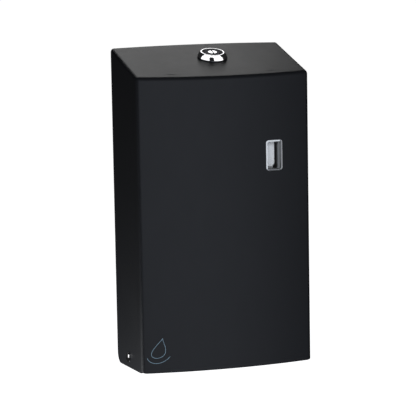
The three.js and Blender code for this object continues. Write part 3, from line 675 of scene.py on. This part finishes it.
def softened(profile, radius=0.3, steps=3):
    """Rounds the corners of a turned profile, apart from its ends on the axis."""
    count = len(profile)
    on_axis = profile[0][0] == 0
    result = []
    for i, (r, h) in enumerate(profile):
        if on_axis and i in (0, count - 1):
            result.append((r, h))
            continue
        before = np.array(profile[i - 1])
        after = np.array(profile[(i + 1) % count])
        corner = np.array((r, h))
        to_before = before - corner
        to_after = after - corner
        reach = min(radius, 0.45 * np.linalg.norm(to_before), 0.45 * np.linalg.norm(to_after))
        start = corner + to_before / np.linalg.norm(to_before) * reach
        end = corner + to_after / np.linalg.norm(to_after) * reach
        for k in range(steps + 1):
            s = k / steps
            point = (1 - s) ** 2 * start + 2 * s * (1 - s) * corner + s**2 * end
            result.append((float(point[0]), float(point[1])))
    return result


# %% [markdown]
# The remaining pieces keep the shape that the frame gives them, but a plain solid has knife edges. Here
# a copy of a node is welded, its flat faces are joined, and its edges are rounded as a mould or a press
# leaves them.


# %% Helper for moulded and pressed pieces
def refined(node, radius=0.3, segments=2, angle=40, levels=0, **looks):
    """A copy of a CAD node with rounded edges, which takes the node's place."""
    source = frame["nodes"][node]
    shape = bmesh.new()
    shape.from_mesh(source.data)
    bmesh.ops.remove_doubles(shape, verts=shape.verts, dist=2e-6)
    bmesh.ops.dissolve_limit(
        shape, angle_limit=math.radians(0.6), verts=shape.verts, edges=shape.edges, delimit={"NORMAL"}
    )
    mesh = bpy.data.meshes.new(node + "_fine")
    shape.to_mesh(mesh)
    shape.free()
    made = bpy.data.objects.new(node + "_fine", mesh)
    bpy.context.collection.objects.link(made)
    if radius:
        rounded_edges(made, radius * MM, segments, angle)
    if levels:
        rounding = made.modifiers.new("rounding", "SUBSURF")
        rounding.levels = levels
        rounding.render_levels = levels
    return as_piece(applied(made), node, **looks)


# %% [markdown]
# Geometry Nodes trees are started with named inputs for their sizes and closed by one function, which
# realises the instances, sets the material, runs the tree on an object and returns a plain mesh.


# %% Helpers for Geometry Nodes
def geometry_tree(name, sizes):
    """An empty tree with one named input for each size, and those inputs as fields."""
    group = bpy.data.node_groups.new(name, "GeometryNodeTree")
    group.interface.new_socket("Geometry", in_out="OUTPUT", socket_type="NodeSocketGeometry")
    for label, value in sizes.items():
        kind = "NodeSocketInt" if isinstance(value, int) else "NodeSocketFloat"
        group.interface.new_socket(label, in_out="INPUT", socket_type=kind)
    tree = Tree(group)
    source = group.nodes.new("NodeGroupInput")
    return tree, {label: Field(tree, source.outputs[label]) for label in sizes}


def grown(name, tree, geometry, material, sizes):
    """Ends a tree, runs it with the given sizes, and returns the result as a plain object."""
    real = tree.add("GeometryNodeRealizeInstances", {}, [geometry])
    dressed = tree.add("GeometryNodeSetMaterial", {}, {"Geometry": real, "Material": material})
    end = tree.group.nodes.new("NodeGroupOutput")
    tree.group.links.new(dressed.socket, end.inputs[0])
    carrier = bpy.data.objects.new(name, bpy.data.meshes.new(name))
    bpy.context.collection.objects.link(carrier)
    modifier = carrier.modifiers.new("grow", "NODES")
    modifier.node_group = tree.group
    for item in tree.group.interface.items_tree:
        if item.in_out == "INPUT":
            modifier[item.identifier] = sizes[item.name]
    return applied(carrier)


def weld(made, distance=1e-6):
    """Merges points that coincide and turns all faces outwards."""
    shape = bmesh.new()
    shape.from_mesh(made.data)
    bmesh.ops.remove_doubles(shape, verts=shape.verts, dist=distance)
    bmesh.ops.dissolve_degenerate(shape, edges=shape.edges, dist=distance)
    bmesh.ops.recalc_face_normals(shape, faces=shape.faces)
    shape.to_mesh(made.data)
    shape.free()
    return made


# %% [markdown]
# ## The cover
# On the real piece one blank of sheet steel is bent into a front, two sides and a top. It could be modelled
# from flat boxes with bevels, but the front is bowed, the top slopes and is slightly crowned, and every
# bend has a radius, so a rule suits it better. A flat grid is bent by formulas: its columns run along
# the outline, from the back of one side round the front to the back of the other, and its rows run up
# the wall, over the top bend and in across the top. The tree's inputs are the cover's sizes.

# %% Cover: a grid bent by formulas
foot_rows = 2
wall_rows = 14
bend_rows = 7
top_rows = 14
cover_sizes = {
    "Width": cover_width,
    "Side Depth": side_depth,
    "Bow": bow,
    "Front Height": front_height,
    "Rear Rise": rear_rise,
    "Crown": crown,
    "Heel Drop": heel_drop,
    "Corner Radius": 2.5 * MM,
    "Bend Radius": 2.6 * MM,
    "Foot": 3 * MM,
    "Corner Lift": 0.7 * MM,
    "Corner Reach": 3.4 * MM,
    "Ground": floor_of_heights,
    "Columns": 401,
    "Rows": foot_rows + wall_rows + bend_rows + top_rows + 1,
}


def cover_surface():
    tree, size = geometry_tree("bowed_cover", cover_sizes)
    half = size["Width"] / 2
    corner = size["Corner Radius"]
    quarter_turn = math.pi / 2
    grid = tree.add(
        "GeometryNodeMeshGrid",
        {},
        {"Size X": 2.0, "Size Y": 2.0, "Vertices X": size["Columns"], "Vertices Y": size["Rows"]},
    )
    flat = tree.add("GeometryNodeInputPosition")
    across = tree.add("ShaderNodeSeparateXYZ", {}, [flat], output=0)
    along = tree.add("ShaderNodeSeparateXYZ", {}, [flat], output=1)

    # the outline: half the front, a corner, then a side
    side = across.math("SIGN", across)
    front_run = half - corner
    corner_run = corner * quarter_turn
    distance = across.math("ABSOLUTE", across) * (front_run + corner_run + size["Side Depth"] - corner)
    turn = ((distance - front_run) / corner).clamp(0, quarter_turn)
    sine = turn.math("SINE", turn)
    cosine = turn.math("COSINE", turn)
    out = distance.math("MINIMUM", distance, front_run) + corner * sine
    set_back = corner * (1 - cosine) + (distance - front_run - corner_run).clamp(0, 1)
    share = out / half
    x = side * out
    y = set_back - size["Side Depth"] - size["Bow"] * (1 - share * share)

    # the rows: a narrow foot, up the wall, over the bend, then in towards the top's rear edge
    row = (along + 1) / 2 * (foot_rows + wall_rows + bend_rows + top_rows)
    foot = (row / foot_rows).clamp(0, 1) * size["Foot"]
    row = row - foot_rows
    climb = (row / wall_rows).clamp(0, 1)
    bend = ((row - wall_rows) / bend_rows).clamp(0, 1) * quarter_turn
    inset = ((row - wall_rows - bend_rows) / top_rows).clamp(0, 1)
    reach = size["Bend Radius"] * (1 - bend.math("COSINE", bend))
    drop = size["Bend Radius"] * (1 - bend.math("SINE", bend))
    x = (x - side * sine * reach) * (1 - inset)
    y = (y + cosine * reach) * (1 - inset)

    share = x / half
    top = size["Front Height"] + size["Rear Rise"] * (1 + y / size["Side Depth"])
    top = top + size["Crown"] * (1 - share * share) - drop
    bottom = -1 * size["Heel Drop"] * (1 + y / size["Side Depth"]).clamp(0, 1)
    from_corner = distance - front_run - corner_run / 2
    near = (1 - from_corner.math("ABSOLUTE", from_corner) / size["Corner Reach"]).clamp(0, 1)
    bottom = bottom + size["Corner Lift"] * near * near + foot
    z = size["Ground"] + bottom + climb * (top - bottom)
    place = tree.add("ShaderNodeCombineXYZ", {}, [x, y, z])
    bent = tree.add("GeometryNodeSetPosition", {}, {"Geometry": grid, "Position": place})
    return grown("cover", tree, bent, finishes["black_paint"], cover_sizes)


cover = weld(cover_surface())
print("cover surface", len(cover.data.polygons), "faces")

# %% [markdown]
# The bent sheet now gets its thickness, inwards. Then the holes are cut: the level window's slot, the
# lock's hole, the two rivet holes, and the rounded heels that clear the wall when the cover swings open.

# %% Places of the holes
sheet = 1.2 * MM
lock_foot = Vector(joints["lock_turn"]["pos_m"])
lock_matrix = Matrix.Translation(lock_foot) @ Matrix.Rotation(top_slope, 4, "X")
window_tilt = math.atan(2 * bow * window_centre_x / half_width**2)
window_matrix = (
    Matrix.Translation((window_centre_x, front_y(window_centre_x), window_centre_z))
    @ Matrix.Rotation(window_tilt, 4, "Z")
    @ Matrix.Rotation(math.pi / 2, 4, "X")
)
along_x = Matrix.Rotation(math.pi / 2, 4, "Y")
print("lock", [round(v, 4) for v in lock_foot], "window turned", round(math.degrees(window_tilt), 1))

# %% [markdown]
# Two kinds of tool do the cutting: an outline extruded to a block, and a turned one. The heels take a
# block with a quarter circle in its outline.


# %% Helpers for blocks
def rounded_slot(name, width, height, radius, low, high, steps=8):
    """A block with rounded corners, drawn in X and Y and standing from low to high, in metres."""
    outline = []
    for quarter in range(4):
        middle = quarter * math.pi / 2 + math.pi / 4
        sign_x = 1 if math.cos(middle) > 0 else -1
        sign_y = 1 if math.sin(middle) > 0 else -1
        for k in range(steps + 1):
            angle = quarter * math.pi / 2 + k / steps * math.pi / 2
            x = sign_x * (width / 2 - radius) + radius * math.cos(angle)
            y = sign_y * (height / 2 - radius) + radius * math.sin(angle)
            outline.append((x, y))
    return prism(name, outline, low, high)


def prism(name, outline, low, high):
    """A closed outline in X and Y, extruded from low to high."""
    shape = bmesh.new()
    base = shape.faces.new([shape.verts.new((x, y, low)) for x, y in outline])
    top = bmesh.ops.extrude_face_region(shape, geom=[base])
    raised = [item for item in top["geom"] if isinstance(item, bmesh.types.BMVert)]
    bmesh.ops.translate(shape, verts=raised, vec=(0, 0, high - low))
    return from_bmesh(name, shape)


def heel_cutter():
    """What the rounded heels of both sides leave out, drawn from the side."""
    radius = 8 * MM
    base = floor_of_heights - heel_drop * (1 - radius / side_depth)
    arc = [
        (-radius + radius * math.sin(a), base + radius - radius * math.cos(a))
        for a in np.linspace(0, math.pi / 2, 13)
    ]
    outline = [*arc, (5 * MM, base + radius), (5 * MM, base - 5 * MM), (-radius, base - 5 * MM)]
    made = prism("heel_cutter", outline, -0.1, 0.1)
    return place_mesh(made, Matrix(((0, 0, 1, 0), (1, 0, 0, 0), (0, 1, 0, 0), (0, 0, 0, 1))))


# %% Cover: thickness and holes
thicken = cover.modifiers.new("sheet", "SOLIDIFY")
thicken.thickness = sheet
thicken.offset = -1
thicken.use_even_offset = True
cover = applied(cover)
slot_tool = rounded_slot("slot", window_width, window_height, 2.2 * MM, -6 * MM, 6 * MM)
cover = boolean(cover, place_mesh(slot_tool, window_matrix))
lock_tool = turned("lock_hole", [(0, -8), (9.7, -8), (9.7, 8), (0, 8)], 48)
cover = boolean(cover, place_mesh(lock_tool, lock_matrix))
rivet_tool = turned("rivet_hole", [(0, -80), (2.85, -80), (2.85, 80), (0, 80)], 32)
cover = boolean(cover, place_mesh(rivet_tool, Matrix.Translation(hinge) @ along_x))
cover = boolean(cover, heel_cutter())
cover.name = "cover"
rounded_edges(cover, 0.25 * MM, 2, 50)
cover = as_piece(applied(cover), "cover_shell", smooth_angle=30)
print("cover", len(cover.data.polygons), "faces")

# %% [markdown]
# ## The lock
# A tubular cam lock: a threaded barrel with a bevelled head, a nut and a washer behind the sheet, and a
# plug whose ring-shaped keyway leaves a post in the middle. The barrel and the plug are turned on one
# axis, square to the sloping top, so each is made upright at the origin and then laid on that axis.

# %% Helpers for the lock
def joined(name, *pieces):
    """Several objects as one, with each one's finish kept."""
    with bpy.context.temp_override(active_object=pieces[0], selected_editable_objects=list(pieces)):
        bpy.ops.object.join()
    pieces[0].name = name
    return pieces[0]


def dress(made, main, other, chosen):
    """Gives a piece its main finish, and the faces that are chosen by their middle and normal another."""
    made.data.materials.append(finishes[main])
    made.data.materials.append(finishes[other])
    for face in made.data.polygons:
        face.material_index = int(chosen(face.center / MM, face.normal))
    return made


# %% [markdown]
# The thread repeats, so Geometry Nodes make it: one ring stands on every point of a line along the axis.

# %% Lock thread
def thread(name, radius, low, high, pitch, material):
    """Thread rings on a barrel: one ring is made, and Geometry Nodes repeat it along the axis."""
    sizes = {"Radius": radius * MM, "Ridge": 0.22 * MM, "Low": low * MM, "Pitch": pitch * MM}
    sizes["Count"] = int((high - low) / pitch)
    tree, size = geometry_tree(name, sizes)
    path = tree.add("GeometryNodeCurvePrimitiveCircle", {}, {"Resolution": 72, "Radius": size["Radius"]})
    ridge = tree.add("GeometryNodeCurvePrimitiveCircle", {}, {"Resolution": 6, "Radius": size["Ridge"]})
    ring = tree.add("GeometryNodeCurveToMesh", {}, {"Curve": path, "Profile Curve": ridge})
    start = tree.add("ShaderNodeCombineXYZ", {}, [0.0, 0.0, size["Low"]])
    step = tree.add("ShaderNodeCombineXYZ", {}, [0.0, 0.0, size["Pitch"]])
    line_inputs = {"Count": size["Count"], "Start Location": start, "Offset": step}
    line = tree.add("GeometryNodeMeshLine", {"mode": "OFFSET"}, line_inputs)
    rings = tree.add("GeometryNodeInstanceOnPoints", {}, {"Points": line, "Instance": ring})
    return grown(name, tree, rings, material, sizes)


# %% [markdown]
# Both turned pieces are chrome outside. The walls of the ring-shaped keyway and of the head's recess are
# painted near-black as painted shade, so their faces are chosen by where they lie and which way they look.

# %% Lock barrel
head_profile = [
    (9.4, -16.0), (9.4, 0.3), (11.5, 0.3), (11.5, 1.2), (11.15, 2.3), (10.3, 3.6),
    (9.0, 4.9), (8.0, 4.9), (7.8, 3.3), (7.5, 2.9), (7.5, -16.0),
]  # fmt: skip



def inside_recess(centre, normal):
    return centre.xy.length < 8.05 and centre.z > 0 and normal.z < 0.9


barrel = turned("lock_barrel_fine", softened(head_profile, 0.25), 96)
# Painted shade: the faces inside the head's recess get the near-black keyway colour.
dress(barrel, "chrome_lock", "keyway_black", inside_recess)
ridges = thread("lock_thread", 9.4, -15.4, -0.9, 1.0, finishes["chrome_lock"])
barrel = joined("lock_barrel_fine", barrel, ridges)
as_piece(place_mesh(barrel, lock_matrix), "lock_barrel")
mark_chrome(barrel)
print("barrel", len(barrel.data.polygons), "faces")

# %% Lock plug and the pieces behind the sheet
plug_profile = [
    (0, -16.0), (7.2, -16.0), (7.2, 2.9), (6.7, 2.9), (6.7, -3.1), (3.5, -3.1), (3.5, 4.8), (0, 4.8),
]


def round_post(centre, normal):
    return centre.z > 0 and (centre.xy.length > 3.45 or normal.z < 0.7)


plug = turned("lock_plug_fine", softened(plug_profile, 0.25), 96)
post_slot = rounded_slot("post_slot", 1.0 * MM, 8.0 * MM, 0.4 * MM, 2.9 * MM, 8 * MM, 3)
plug = boolean(plug, post_slot)
tail = rounded_slot("plug_tail", 6 * MM, 6 * MM, 0.6 * MM, -18.6 * MM, -15.5 * MM, 3)
plug = boolean(plug, tail, "UNION")
plug.name = "lock_plug_fine"
# Painted shade: the keyway's faces round the post get the near-black keyway colour.
dress(plug, "chrome_lock", "keyway_black", round_post)
as_piece(place_mesh(plug, lock_matrix), "lock_plug")
mark_chrome(plug)

for node, radius in (("lock_washer", 0.15), ("lock_nut", 0.4), ("lock_cam", 0.35), ("cam_screw", 0.25)):
    refined(node, radius)
print("plug", len(plug.data.polygons), "faces")

# %% [markdown]
# ## The hinge rivets
# A rivet on each side carries the cover. Outside, its head is a low polished dome.

# %% Hinge rivets and their washers
rivet_profile = [
    (0, 60.2), (4, 60.2), (4, 61.7), (2.5, 61.7), (2.5, 67.8), (3.7, 67.8),
    (3.68, 68.15), (3.45, 68.7), (2.9, 69.1), (2.0, 69.35), (1.0, 69.45), (0, 69.45),
]  # fmt: skip
for side_name, turn in (("left", math.pi), ("right", 0)):
    rivet = turned("hinge_rivet_" + side_name, softened(rivet_profile, 0.2), 64)
    turned_out = Matrix.Translation((0, hinge.y, hinge.z)) @ Matrix.Rotation(turn, 4, "Z") @ along_x
    as_piece(place_mesh(rivet, turned_out), "pivot_rivet_" + side_name, smooth_angle=50)
    mark_chrome(rivet)
    refined("pivot_washer_" + side_name, 0.3)
    print(side_name, "rivet", len(rivet.data.polygons), "faces")

# %% [markdown]
# ## The level window
# A short tunnel leads from the slot in the cover back to the tank, and a clear pane closes its mouth.
# From the camera's side the tunnel's right and lower walls show, so the faces of its walls, and all that
# lies deeper than its rim, get the grey finish.

# %% Level window
window_out = window_matrix.to_3x3() @ Vector((0, 0, 1))
frame_piece = refined("window_frame", 0.2, 3, finish=finishes["window_edge"])
frame_piece.data.materials.append(finishes["tunnel_grey"])
# Wall faces and faces behind the rim take the tunnel finish: grey, painted almost black further in as
# painted shade.
for face in frame_piece.data.polygons:
    depth = (window_matrix.translation - face.center).dot(window_out)
    if abs(face.normal.dot(window_out)) < 0.5 or depth > 1 * MM:
        face.material_index = 1
keep_off_panel(refined("window_lens", 0.2))
refined("level_block", 0.5, 3)
print("window frame", len(frame_piece.data.polygons), "faces")

# %% [markdown]
# ## The sign on the front
# A drop over a cupped hand is printed low on the front, at the left. Both are the same kind of line: a
# part of an ellipse, pinched to a tip by a power of a sine, leaning a little, and laid on the bowed front.
# One Geometry Nodes tree draws such a line from its named inputs, and it is run twice.

# %% Drop sign
sign_place = {"Centre X": -54 * MM, "Side Depth": side_depth, "Bow": bow, "Half Width": half_width}
drop_line = {"Centre Z": floor_of_heights + 19 * MM, "Width": 15 * MM, "Height": 15 * MM, "Pinch": 1.7}
hand_line = {"Centre Z": floor_of_heights + 16 * MM, "Width": 19 * MM, "Height": 17 * MM, "Pinch": 0.0}
drop_line.update(sign_place, **{"Start": 0.0, "Sweep": math.tau, "Line": 0.25 * MM, "Points": 97})
hand_line.update(sign_place, **{"Start": 2.0, "Sweep": 2.2, "Line": 0.25 * MM, "Points": 49})


def sign_line(name, sizes):
    tree, size = geometry_tree(name, sizes)
    line = tree.add("GeometryNodeMeshLine", {"mode": "OFFSET"}, {"Count": size["Points"]})
    index = tree.add("GeometryNodeInputIndex")
    angle = size["Start"] + size["Sweep"] * index / (size["Points"] - 1)
    half_sine = (angle / 2).math("SINE", angle / 2).clamp(0, 1)
    x = size["Width"] / 2 * angle.math("SINE", angle) * half_sine ** size["Pinch"]
    z = size["Height"] / 2 * angle.math("COSINE", angle)
    x = size["Centre X"] + x + 0.3 * z
    share = x / size["Half Width"]
    y = -1 * size["Side Depth"] - size["Bow"] * (1 - share * share) + 0.6 * size["Line"]
    place = tree.add("ShaderNodeCombineXYZ", {}, [x, y, z + size["Centre Z"]])
    drawn = tree.add("GeometryNodeSetPosition", {}, {"Geometry": line, "Position": place})
    curve = tree.add("GeometryNodeMeshToCurve", {}, {"Mesh": drawn})
    dot = tree.add("GeometryNodeCurvePrimitiveCircle", {}, {"Resolution": 8, "Radius": size["Line"]})
    sweep = {"Curve": curve, "Profile Curve": dot, "Fill Caps": True}
    return grown(name, tree, tree.add("GeometryNodeCurveToMesh", {}, sweep), ink_finish, sizes)


sign = joined("drop_sign", sign_line("drop_line", drop_line), sign_line("hand_line", hand_line))
sign.data.shade_smooth()
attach(sign, "cover")
print("sign", len(sign.data.polygons), "faces")

# %% [markdown]
# ## Turned pieces inside
# Cells, the cap, the nozzle, rollers, seals and the motor are round. Each is a profile spun on
# its own axis. A profile is drawn upright, and a matrix then lays it along X, Y or Z at the place that
# the frame gives for the node.

# %% Helpers for the pieces inside
def height(z):
    """A height above the front's lower edge, in millimetres, as a height in the frame, in metres."""
    return floor_of_heights + z * MM


def middle(node):
    """The middle of a CAD node's box."""
    low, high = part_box(node)
    return (low + high) / 2


def turned_piece(node, profile, matrix, softening=0.25, steps=64):
    """A profile that is rounded, spun, laid in its place, and takes the place of a node."""
    made = turned(node + "_fine", softened(profile, softening), steps)
    return as_piece(place_mesh(made, matrix), node)


def upright(node, base):
    """Stands a profile on a height, on the node's own vertical axis."""
    centre = middle(node)
    return Matrix.Translation((centre.x, centre.y, base))


def facing_front(node):
    """Lays a profile along Y, so that its heights count forwards from the wall."""
    centre = middle(node)
    return Matrix.Translation((centre.x, 0, centre.z)) @ Matrix.Rotation(math.pi / 2, 4, "X")


# %% Battery cells
cell_profile = [
    (0, 0), (4.6, 0), (4.8, 0.3), (6.5, 0.3), (7.2, 0.9), (7.25, 1.6), (7.25, 47.0), (7.0, 48.1),
    (5.6, 48.5), (4.2, 48.3), (2.9, 48.3), (2.7, 49.4), (0, 49.5),
]  # fmt: skip
for number in range(1, 5):
    cell_name = f"battery_{number}"
    turned_piece(cell_name, cell_profile, upright(cell_name, height(29)), 0.3, 48)
print("four cells, from a profile of", len(cell_profile), "points")

# %% Nozzle, seals and sensor lamps
outlet_axis = upright("outlet_valve", floor_of_heights)
nozzle_profile = [
    (1.8, 2.2), (3.6, 2.2), (3.6, -3), (4.6, -3), (6.6, 0), (6.6, 2.9), (10, 2.9), (10, 4.8),
    (5.6, 6.2), (5, 16), (3.4, 16), (3.4, 8), (1.8, 8),
]  # fmt: skip
turned_piece("nozzle", nozzle_profile, outlet_axis, 0.35)
grommet_profile = [(9.1, 87.5), (9.1, 91.7), (6.3, 91.7), (6.3, 87.5)]
turned_piece("spigot_grommet", grommet_profile, outlet_axis, 0.5)
seal_profile = [(13.6, 211.2), (13.6, 211.7), (11, 211.7), (11, 211.2)]
turned_piece("cap_seal", seal_profile, upright("cap_seal", floor_of_heights), 0.15)
lamp_profile = [
    (0, 3.6), (1.0, 3.7), (1.9, 4.2), (2.4, 5.1), (2.4, 7.6), (2.9, 7.6), (2.9, 8.7), (0, 8.7),
]
for lamp in ("ir_emitter", "ir_receiver"):
    turned_piece(lamp, lamp_profile, upright(lamp, floor_of_heights), 0.1, 40)
print("nozzle, seals and lamps are done")

# %% Pump rollers, axle and motor
roller_profile = [(1.8, 47), (3.5, 47), (3.5, 55.2), (1.8, 55.2)]
for number in range(1, 4):
    roller_name = f"pump_roller_{number}"
    turned_piece(roller_name, roller_profile, facing_front(roller_name), 0.35, 48)
axle_profile = [(0, 29.2), (1.5, 29.2), (1.5, 43), (0, 43)]
turned_piece("compound_axle", axle_profile, facing_front("compound_axle"), 0.3, 32)
motor_profile = [
    (0, 6.0), (2.2, 6.0), (2.4, 7.0), (10.6, 7.0), (11.6, 7.8), (12, 9.0), (12, 27.6), (11.2, 28.5),
    (3.0, 28.7), (3.0, 30.3), (1.5, 30.3), (1.5, 24), (0, 24),
]  # fmt: skip
motor_matrix = facing_front("drive_motor")
motor = turned("drive_motor_fine", softened(motor_profile, 0.3), 72)
place_mesh(motor, motor_matrix)
for side in (-6, 6):
    tab = rounded_slot("motor_tab", 2.4 * MM, 0.8 * MM, 0.3 * MM, 4 * MM, 7.5 * MM, 3)
    place_mesh(tab, motor_matrix @ Matrix.Translation((side * MM, 0, 0)))
    motor = boolean(motor, tab, "UNION")
motor.name = "drive_motor_fine"
as_piece(motor, "drive_motor")
print("motor", len(motor.data.polygons), "faces")

# %% [markdown]
# The cap's grip is a ring of twelve ribs, and the contact springs are real coils. One rib is made, and
# Geometry Nodes repeat it round the cap. Each coil is wound by Geometry Nodes, and one is placed under
# each of the four cells.

# %% Tank cap
cap_profile = [
    (14.3, 204.8), (17.0, 204.8), (17.0, 214.3), (16.2, 215.3), (12.4, 215.3), (12.0, 215.0),
    (0, 215.0), (0, 211.9), (14.3, 211.9),
]  # fmt: skip


def cap_ribs():
    """One upright bar, repeated on the points of a circle."""
    sizes = {"Radius": 17.1 * MM, "Width": 2 * MM, "Depth": 1.3 * MM, "Tall": 9 * MM, "Ribs": 12}
    tree, size = geometry_tree("cap_ribs", sizes)
    bar_size = tree.add("ShaderNodeCombineXYZ", {}, [size["Width"], size["Depth"], size["Tall"]])
    bar = tree.add("GeometryNodeMeshCube", {}, {"Size": bar_size, "Vertices Z": 5})
    ring = {"Vertices": size["Ribs"], "Radius": size["Radius"]}
    points = tree.add("GeometryNodeMeshCircle", {}, ring)
    turn = tree.add("GeometryNodeInputIndex") / size["Ribs"] * math.tau + math.pi / 2
    facing = tree.add("ShaderNodeCombineXYZ", {}, [0.0, 0.0, turn])
    ribs = tree.add(
        "GeometryNodeInstanceOnPoints", {}, {"Points": points, "Instance": bar, "Rotation": facing}
    )
    return grown("cap_ribs", tree, ribs, finishes["blue_cap"], sizes)


cap_axis = upright("tank_cap", floor_of_heights)
cap = turned("tank_cap_fine", softened(cap_profile, 0.4), 96)
cap.data.materials.append(finishes["blue_cap"])
ribs = rounded_edges(place_mesh(cap_ribs(), Matrix.Translation((0, 0, 209.3 * MM))), 0.35 * MM)
cap = joined("tank_cap_fine", cap, applied(ribs))
as_piece(place_mesh(cap, cap_axis), "tank_cap")
print("cap", len(cap.data.polygons), "faces")


# %% Contact springs
def coils():
    """One spring that narrows upwards: a line of points wound round Z and swept with a wire."""
    sizes = {
        "Low Radius": 4.8 * MM, "High Radius": 2.6 * MM, "Rise": 4.0 * MM, "Turns": 4.0,
        "Wire": 0.35 * MM, "Points": 121,
    }  # fmt: skip
    tree, size = geometry_tree("contact_coil", sizes)
    line = tree.add("GeometryNodeMeshLine", {"mode": "OFFSET"}, {"Count": size["Points"]})
    share = tree.add("GeometryNodeInputIndex") / (size["Points"] - 1)
    angle = share * size["Turns"] * math.tau
    radius = size["Low Radius"] + (size["High Radius"] - size["Low Radius"]) * share
    x = radius * angle.math("COSINE", angle)
    y = radius * angle.math("SINE", angle)
    place = tree.add("ShaderNodeCombineXYZ", {}, [x, y, share * size["Rise"]])
    wound = tree.add("GeometryNodeSetPosition", {}, {"Geometry": line, "Position": place})
    curve = tree.add("GeometryNodeMeshToCurve", {}, {"Mesh": wound})
    wire = tree.add("GeometryNodeCurvePrimitiveCircle", {}, {"Resolution": 10, "Radius": size["Wire"]})
    sweep = {"Curve": curve, "Profile Curve": wire, "Fill Caps": True}
    coil = tree.add("GeometryNodeCurveToMesh", {}, sweep)
    return grown("coil", tree, coil, finishes["bright_steel"], sizes)


strip_size = (28 * MM, 29.1 * MM, 1 * MM)
strip_thickness = 0.6 * MM
strip_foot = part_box("contact_springs")[0].z
strip_middle = middle("contact_springs")
strip = rounded_slot("contact_springs_fine", *strip_size, strip_foot, strip_foot + strip_thickness)
place_mesh(strip, Matrix.Translation((strip_middle.x, strip_middle.y, 0)))
strip.data.materials.append(finishes["bright_steel"])
springs = [strip]
for number in range(1, 5):
    spot = middle(f"battery_{number}")
    springs.append(place_mesh(coils(), Matrix.Translation((spot.x, spot.y, strip_foot + 0.35 * MM))))
springs = as_piece(joined("contact_springs_fine", *springs), "contact_springs")
print("springs", len(springs.data.polygons), "faces")

# %% [markdown]
# ## Everything else inside
# The pressed, moulded and machined pieces keep the frame's shape. Each gets the edge radius that its way
# of making leaves, in millimetres. The tube and the leads are smoothed along their bends instead.

# %% Pressed, moulded and machined pieces inside
soft_edges = {
    "back_plate": 0.25, "catch_bracket": 0.4, "catch_rivet_1": 0.4, "catch_rivet_2": 0.4,
    "base_tray": 0.4, "outlet_valve": 0.3, "sensor_window": 0.25, "control_board": 0.1,
    "switch_case": 0.25, "switch_slider": 0.25, "soap_tank": 1.6, "tank_cradle": 0.5,
    "pump_housing": 0.5, "pump_lid": 0.3, "lid_screw_1": 0.2, "lid_screw_2": 0.2,
    "lid_screw_3": 0.2, "pump_rotor": 0.3, "output_gear": 0.08, "compound_gear": 0.08,
    "motor_pinion": 0.08, "motor_mount": 0.4, "battery_box": 0.4, "battery_door": 0.4,
    "contact_strip": 0.1,
}  # fmt: skip
for node, radius in soft_edges.items():
    refined(node, radius)
soft_runs = ("pump_tube", "motor_lead_red", "motor_lead_black", "battery_lead_red", "battery_lead_black")
for node in soft_runs:
    refined(node, 0, levels=1)
print("refined", len(soft_edges), "pieces and", len(soft_runs), "soft runs")
